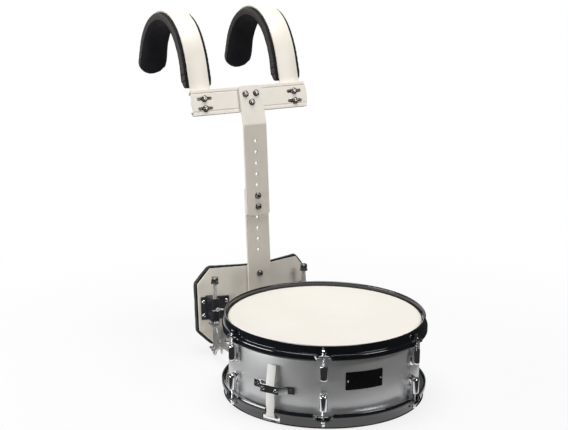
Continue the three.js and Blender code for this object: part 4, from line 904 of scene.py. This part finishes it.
band_foot, band_thick, band_half, band_out = (17.6, 33), 3.5, 21, 98.6
band_bends = [(92,), (180, 21), (105, 69), (113, 56)]
band_path = trace(band_bends + [(55,)])
band_places = {word: yoke @ Matrix.Translation((side * band_out, 0, 0))
               for side, word in ((-1, "left"), (1, "right"))}


def along_path(path):
    """The distance of each point along a path."""
    lengths = [0.0]
    for (a, b), (c, d) in zip(path, path[1:]):
        lengths.append(lengths[-1] + hypot(c - a, d - b))
    return lengths


def round_end(left, tip, least):
    """The share of the full width at a distance left to a half round end."""
    return 1.0 if left > tip else sqrt(max(1 - ((tip - left) / tip) ** 2, least))


def band_skin(path):
    """The band along a path (back, up), half round at its free end."""
    lengths, rings = along_path(path), []
    for index, (back, up) in enumerate(path):
        reach = band_half * round_end(lengths[-1] - lengths[index], band_half, 0.0004)
        right, down = beside(path, index)
        section = oblong(-reach, reach, 0, band_thick, min(0.6, reach / 2), 3)
        rings.append([(across, back + right * depth, up + down * depth) for across, depth in section])
    return skin(rings)


def finer_end(path, reach, steps=14):
    """The path with its last stretch cut finer towards the end, for a round tip."""
    (a, b), (c, d) = path[-2], path[-1]
    lengths = along_path(path)
    kept = [point for point, length in zip(path, lengths) if length < lengths[-1] - reach - 0.5]
    size = hypot(c - a, d - b)
    for step in range(steps + 1):
        left = reach * (1 - sin(pi / 2 * step / steps))
        kept.append((c - (c - a) / size * left, d - (d - b) / size * left))
    return kept


for word, place in band_places.items():
    band = build(f"bent_band_{word}", band_skin(finer_end(band_path, band_half)), paint, place)
    seat(band, f"shoulder_band_{word}", "paint", f"shoulder_band_{word}")


# Bolts with domed heads, a hexagon socket and a washer hold the bars, the crossbar, the
# bands and the belly plate. Each is set at its place, with a nut where its end is seen.
dark_steel, dark_place = finish("dark_plated_steel", metallic=1.0, base_color=(0.26, 0.245, 0.23, 1))
plating = grain(dark_place, 160, 4)
dress(dark_steel, {
    "Base Color": plating.between(0.3, 0.75).blend((0.30, 0.285, 0.27), (0.17, 0.16, 0.15)),
    "Roughness": 0.14 + plating * 0.14,
}, plating, 0.05, 0.0002)

bolt_tree, given, add = geometry_tree("bolts_at_places", [
    ("Geometry", "Geometry"), ("Bolt", "Object"), ("Turn", "Vector"), ("Finish", "Material")])
bolt_shape = add("GeometryNodeObjectInfo", {}, {"Object": given["Bolt"]}, out="Geometry")
set_bolts = add("GeometryNodeInstanceOnPoints", {}, {
    "Points": given["Geometry"], "Instance": bolt_shape, "Rotation": given["Turn"]})
close_tree(add, set_bolts, given["Finish"])


def facing_front(levels):
    """A bar turned from its levels, its head towards -Y."""
    return mapped(turned_shape(levels, 24), lambda x, y, z: (x, -z, y))


def bolt(depth, nut=True):
    """A bolt with its head in front of y = 0, and a nut at a depth behind it."""
    head = facing_front([
        (2.8, -depth - 5.2, 0), (2.8, 0, 0), (6.2, 0, 0), (6.6, 0.3, 0), (6.6, 0.9, 0), (6.2, 1.2, 0),
        (5.0, 1.2, 0), (5.2, 1.5, 0), (5.1, 2.4, 0), (4.7, 3.4, 0), (4.0, 4.2, 0), (3.1, 4.7, 0),
        (2.3, 4.85, 0), (1.75, 4.8, 6), (1.7, 2.9, 6), (0.05, 2.7, 6)])
    behind = facing_front([
        (2.8, -depth - 4, 0), (4.3, -depth - 4, 6), (4.9, -depth - 3.5, 6), (4.9, -depth - 0.4, 6),
        (4.3, -depth, 6), (2.8, -depth, 0)])
    return [head, behind] if nut else [head]


def set_at(name, body, place, spots, material, skins, *nodes):
    """Equal bolts or screws at spots of a place, as one piece on a body."""
    one_bolt = gather("one_bolt", material, millimetres, *skins)
    seeds = bpy.data.meshes.new(name)
    seeds.from_pydata([place @ Vector(spot) for spot in spots], [], [])
    made = grow(name, bolt_tree, {"Bolt": one_bolt, "Turn": place.to_euler(), "Finish": material}, seeds)
    bpy.data.objects.remove(one_bolt)
    seat(made, body, "bolt", *nodes)


set_at("height_bolts", "carrier", carrier, [(0, -0.3, hole_top), (0, -0.3, hole_top - hole_pitch)],
       dark_steel, bolt(10.6), "height_bolt_1", "height_bolt_2")
set_at("domed_belly_bolt", "carrier", carrier, [(0, 5.0, -42.7)],
       dark_steel, bolt(8.3, nut=False), "belly_bolt")
set_at("yoke_bolts", "carrier", yoke, [(-11.5, -0.15, 62), (11.5, -0.15, 62), (0, -0.15, 45)],
       dark_steel, bolt(8.6))
for word, place in band_places.items():
    set_at(f"band_bolts_{word}", f"shoulder_band_{word}", place, [(0, 5.0, 60.1), (0, 5.0, 40.9)],
           dark_steel, bolt(12.2, nut=False))


# Pads of black foam in stretch cloth: one under each shoulder band, round at its free end,
# with a ribbed gusset and sewn piping, and one behind the belly plate. Each is filled as
# cloth under a little pressure, while what lies against its bar or plate stays there.
cloth, cloth_place = finish("black_stretch_cloth", sheen_weight=0.04, sheen_roughness=0.5, ior=1.35)
gusset_front, gusset_back, seam_width = 0.0008, 0.0158, 0.0008
knit = cloth_place.node("TexVoronoi", {}, {"Vector": cloth_place, "Scale": 620.0}, out="Distance")
fuzz = grain(cloth_place, 900, 4)
fade = grain(cloth_place, 26, 3)
pad_map = cloth_place.node("UVMap", {"uv_map": "UVMap"})
ridges = cloth_place.node("TexWave", {"wave_type": "BANDS", "bands_direction": "X", "wave_profile": "SIN"}, {
    "Vector": pad_map, "Scale": 95, "Distortion": 0.5, "Detail": 2, "Detail Scale": 2})
pad_depth = cloth_place.node("SeparateXYZ", {}, {0: pad_map}, out="Y")
gusset = pad_depth.between(gusset_front, gusset_front + seam_width) * pad_depth.between(
    gusset_back - seam_width, gusset_back, 1.0, 0.0)
plain_cloth = (fuzz * 0.4 + fade * 0.6).between(0.3, 0.7).blend(
    (0.0048, 0.0048, 0.0074), (0.0105, 0.0102, 0.0140))
# The ribbed gusset's lighter colour is partly its own greyer knit and partly painted sheen, raised in the
# base colour in place of a stronger sheen weight.
ribbed_cloth_and_painted_sheen = (ridges * 0.6 + fuzz * 0.4).between(0.2, 0.8).blend(
    (0.030, 0.027, 0.025), (0.095, 0.086, 0.080))
dress(cloth, {
    "Base Color": gusset.blend(plain_cloth, ribbed_cloth_and_painted_sheen),
    "Roughness": 0.82 + fuzz * 0.12,
}, (1 - gusset) * (knit * 0.5 + fuzz * 0.5) + gusset * ridges, 0.45, 0.0005)


even_cell, fill_pressure, fill_frames = 0.004, 4.0, 20


def fill(piece, is_held, cap, map_place):
    """Remeshes a pad evenly, lets it swell as filled cloth, no point further than a cap, and maps it."""
    even = piece.modifiers.new("even_cells", "REMESH")
    even.mode, even.voxel_size = "VOXEL", even_cell
    slack, piece.data = piece.data, applied(piece)
    piece.modifiers.clear()
    bpy.data.meshes.remove(slack)
    piece.data.name = piece.name
    start = [vertex.co.copy() for vertex in piece.data.vertices]
    held = piece.vertex_groups.new(name="held")
    held.add([index for index, spot in enumerate(start) if is_held(spot)], 1, "REPLACE")
    filled = piece.modifiers.new("filled_cloth", "CLOTH")
    filled.settings.use_pressure = True
    filled.settings.uniform_pressure_force = fill_pressure
    filled.settings.effector_weights.gravity = 0
    filled.settings.vertex_group_mass = "held"
    for frame_number in range(1, fill_frames + 1):
        scene.frame_set(frame_number)
    swelled = applied(piece)
    piece.modifiers.clear()
    piece.vertex_groups.clear()
    for vertex, before, after in zip(piece.data.vertices, start, swelled.vertices):
        way = after.co - before
        vertex.co = before + way * min(1, cap / max(way.length, 1e-9))
    bpy.data.meshes.remove(swelled)
    scene.frame_set(1)
    piece.data.shade_smooth()
    piece.data.materials.clear()
    piece.data.materials.append(cloth)
    layer = piece.data.uv_layers.new(name="UVMap")
    for loop in piece.data.loops:
        layer.data[loop.index].uv = map_place(piece.data.vertices[loop.vertex_index].co)
    smooth = piece.modifiers.new("smooth", "SUBSURF")
    smooth.levels = smooth.render_levels = 1


pad_half, pad_thick, pad_tip, pad_heel, under_band = 30, 20.5, 27, 42, 3.8
pad_full = trace(band_bends + [(60,)])
pad_line = []
for index, (back, up) in enumerate(pad_full):
    right, down = beside(pad_full, index)
    pad_line.append((back + right * under_band, up + down * under_band))
pad_line = [point for point, length in zip(pad_line, along_path(pad_line)) if length > pad_heel]
pad_line = finer_end(pad_line, pad_tip, 16)
pad_edge = [(0.90, 0.0), (0.97, 0.03), (1.0, 0.12), (1.0, 0.30), (0.985, 0.48), (0.995, 0.66), (0.97, 0.80),
            (0.90, 0.90), (0.76, 0.955), (0.5, 0.985), (0.2, 1.0)]
pad_section = [(-0.90, 0.0), (-0.45, 0.0), (0.0, 0.0), (0.45, 0.0)] + pad_edge
pad_section += [(-across, down) for across, down in pad_edge[:0:-1]]
lengths = along_path(pad_line)
rings = []
for index, (back, up) in enumerate(pad_line):
    tip = round_end(lengths[-1] - lengths[index], pad_tip, 0.0016)
    heel = min(1.0, 0.62 + 0.38 * sqrt(min(lengths[index] / 9.0, 1.0)))
    wide, deep = pad_half * tip * (0.94 + 0.06 * heel), pad_thick * heel * (0.45 + 0.55 * sqrt(tip))
    out = beside(pad_line, index)
    rings.append([(across * wide, back + out[0] * down * deep, up + out[1] * down * deep)
                  for across, down in pad_section])

pad_place = band_places["right"]
pad_inverse = pad_place.inverted()


def pad_spot(co):
    """How far along the band and away from it a place on the right pad is, in metres."""
    spot = pad_inverse @ co
    away = [hypot(spot.y - back, spot.z - up) for back, up in pad_line]
    nearest = away.index(min(away))
    (back, up), out = pad_line[nearest], beside(pad_line, nearest)
    deep = (spot.y - back) * out[0] + (spot.z - up) * out[1]
    return lengths[nearest] * millimetre, deep * millimetre


right_pad = build("cloth_pad_right", skin(rings), cloth, pad_place, 75)
fill(right_pad, lambda co: pad_spot(co)[1] < 0.0012, 0.0026, pad_spot)

seam_depth, seam_stop, cord_radius = 16, 9, 1.0
pad_surface = BVHTree.FromPolygons([vertex.co for vertex in right_pad.data.vertices],
                                   [tuple(face.vertices) for face in right_pad.data.polygons])
piping_skins = []
for edge in (-pad_half - 1, pad_half + 1):
    seam = []
    for index in range(1, len(pad_line) - seam_stop):
        (back, up), out = pad_line[index], beside(pad_line, index)
        spot = pad_place @ Vector((edge, back + out[0] * seam_depth, up + out[1] * seam_depth))
        seam.append(pad_inverse @ pad_surface.find_nearest(spot)[0])
    rings = []
    for index, middle in enumerate(seam):
        ahead = (seam[min(index + 1, len(seam) - 1)] - seam[max(index - 1, 0)]).normalized()
        side_way = ahead.cross(Vector((1, 0, 0))).normalized()
        over_way = ahead.cross(side_way)
        round_cord = [side_way * cos(pi * part / 4) + over_way * sin(pi * part / 4) for part in range(8)]
        rings.append([tuple(middle + way * cord_radius) for way in round_cord])
    piping_skins.append(skin(rings))
right_piping = gather("pad_piping_right", cloth, pad_place, *piping_skins, sharp=75)


def left_copy(piece):
    """A copy of a right piece on the left band."""
    copied = piece.copy()
    copied.name, copied.data = piece.name.replace("right", "left"), piece.data.copy()
    copied.data.name = copied.name
    copied.data.transform(Matrix.Translation((-2 * band_out * millimetre, 0, 0)))
    scene.collection.objects.link(copied)
    return copied


left_pad, left_piping = left_copy(right_pad), left_copy(right_piping)
for word, pad, piping in (("left", left_pad, left_piping), ("right", right_pad, right_piping)):
    seat(pad, f"shoulder_band_{word}", "foam", f"shoulder_pad_{word}")
    seat(piping, f"shoulder_band_{word}", "foam")

pad_front, foam_border, belly_middle = plate_front + plate_thick / cos(wing_angle) + 0.3, 5.5, -100.5


def offset_corners(corners, by):
    """The corners of an outline, given the left way round, moved out by a distance."""
    moved = []
    for index, corner in enumerate(corners):
        here = Vector(corner)
        before = (here - Vector(corners[index - 1])).normalized()
        after = (Vector(corners[(index + 1) % len(corners)]) - here).normalized()
        half = before.angle(after) / 2
        out = Vector((before.y + after.y, -before.x - after.x)).normalized()
        moved.append(here + out * by / cos(half))
    return moved


rings = []
for inset, depth, share in (
        (12, 0, 0.4), (12, 0, 0.7), (12, 0, 1), (4.0, 0, 1), (1.2, 0.5, 1), (0.2, 2.4, 1), (0, 4.8, 1),
        (0.2, 7.0, 1), (1.4, 9.2, 1), (3.6, 10.4, 1), (9, 11.1, 1), (12, 11.5, 0.9), (12, 12.1, 0.65),
        (12, 12.4, 0.4)):
    corners = offset_corners(belly_corners, foam_border - inset)
    outline = rounded([(x * share, (up - belly_middle) * share + belly_middle, 9) for x, up in corners], 3)
    ring = []
    for index, (x, up) in enumerate(outline):
        to_x, to_up = outline[(index + 1) % len(outline)]
        parts = 12 if index % 4 == 3 else 1
        ring += [(x + (to_x - x) * part / parts, up + (to_up - up) * part / parts) for part in range(parts)]
    rings.append([(x, pad_front + wing_shift(x) + depth, up) for x, up in ring])
belly_pad = build("cloth_belly_pad", skin(rings), cloth, carrier, 75)
carrier_inverse = carrier.inverted()


def belly_depth(co):
    """How far behind the plate's back a place on the belly pad is, in metres."""
    spot = carrier_inverse @ co
    return (spot.y - pad_front - wing_shift(spot.x)) * millimetre


def belly_spot(co):
    """The belly pad's map: its ribs slant across it, and its depth fills the gusset."""
    return co.x * 1.3 + co.z * 0.8, belly_depth(co) * 1.6


fill(belly_pad, lambda co: belly_depth(co) < 0.0022, 0.0025, belly_spot)
seat(belly_pad, "carrier", "foam", "belly_pad")


# Hangers: black brackets on the belly plate hold threaded rods with knurled caps, and the
# rods carry folded steel hooks under the drum's lugs. Wing screws and wing nuts lock them.
bracket_black, bracket_place = finish("bracket_black_paint", ior=1.55)
bracket_peel = grain(bracket_place, 420, 3)
bracket_dust = grain(bracket_place, 90, 4)
dress(bracket_black, {
    "Base Color": bracket_dust.between(0.5, 0.85).blend((0.008, 0.0085, 0.014), (0.024, 0.025, 0.034)),
    "Roughness": 0.28 + bracket_dust * 0.18,
}, bracket_peel, 0.12, 0.0003)
zinc, zinc_place = finish("zinc_plated_steel", metallic=0.85)
bloom = grain(zinc_place, 55, 4)
rolled = grain(zinc_place, 420, 3, (1, 1, 0.12))
dress(zinc, {
    "Base Color": bloom.between(0.3, 0.7).blend((0.62, 0.62, 0.60), (0.78, 0.78, 0.76)),
    "Roughness": 0.28 + rolled * 0.16,
}, rolled, 0.08, 0.0003)

screw_head = facing_front([
    (3.5, 0, 0), (4.1, 0.2, 0), (4.1, 0.7, 0), (3.7, 1.6, 0), (2.9, 2.4, 0), (1.9, 2.8, 0), (1.35, 2.85, 4),
    (1.2, 1.6, 4), (0.05, 1.5, 4)])
screw_middle, screw_front, screw_up = (100 - wing_flat) / cos(wing_angle) - 10, -3.25, -104.35
screw_across, screw_rise = 22.5, 13.5
cap_sides, knurl_cut, cap = 60, 0.45, []
for radius, height, knurled in (
        (0.05, 150, 0), (8, 150, 0), (8, 151.7, 0), (7.6, 152, 0), (6.3, 152, 0), (6.6, 152.4, 1),
        (6.9, 153, 1), (6.9, 161, 1), (6.5, 162.2, 1), (5.6, 162.8, 0), (4.6, 163, 0), (0.05, 163, 0)):
    ring = []
    for side in range(cap_sides):
        turn, reach = 2 * pi * side / cap_sides, radius - knurled * knurl_cut * (side % 2)
        ring.append((reach * cos(turn), reach * sin(turn), height))
    cap.append(ring)
lower_nut = turned_shape([
    (4, 9.2, 0), (5.7, 9.2, 6), (6.2, 9.7, 6), (6.2, 14.2, 6), (5.7, 14.7, 6), (4, 14.7, 0)], 24)
hanger_thread = thread(radius=4, low=2.6, high=150.5, pitch=1.25, depth=0.4, sides=20, steps=4)

for side, word in ((-1, "left"), (1, "right")):
    eased(f"hanger_bracket_{word}", "carrier", bracket_black, "bracket", 0.6, 3, merged=False)
    fold = Matrix.Translation((side * wing_flat, plate_front, 0)) @ Matrix.Rotation(side * wing_angle, 4, "Z")
    spots = [(side * screw_middle + across, screw_front, screw_up + up)
             for across in (-screw_across, screw_across) for up in (-screw_rise, screw_rise)]
    set_at(f"bracket_screws_{word}", "carrier", carrier @ fold, spots, chrome, [screw_head])
    eased(f"hanger_hook_{word}", "drum", zinc, "steel", 0.45)
    eased(f"wing_nut_{word}", f"wing_nut_{word}", chrome, "bolt", 0.6, 3)
    eased(f"wing_screw_{word}", f"wing_screw_{word}", chrome, "bolt", 0.6, 3)
    rod_name = f"hanger_rod_{word}"
    hanger_low, hanger_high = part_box(rod_name)
    hanger_middle = (hanger_low + hanger_high) / 2
    place = Matrix.Translation((hanger_middle.x, hanger_middle.y, rim_low)) @ millimetres
    hanger = gather(f"threaded_{rod_name}", zinc, place, lower_nut, hanger_thread, sharp=50)
    seat(hanger, rod_name, "steel", rod_name)
    seat(build(f"knurled_cap_{word}", skin(cap), dark_steel, place, 50), rod_name, "steel")
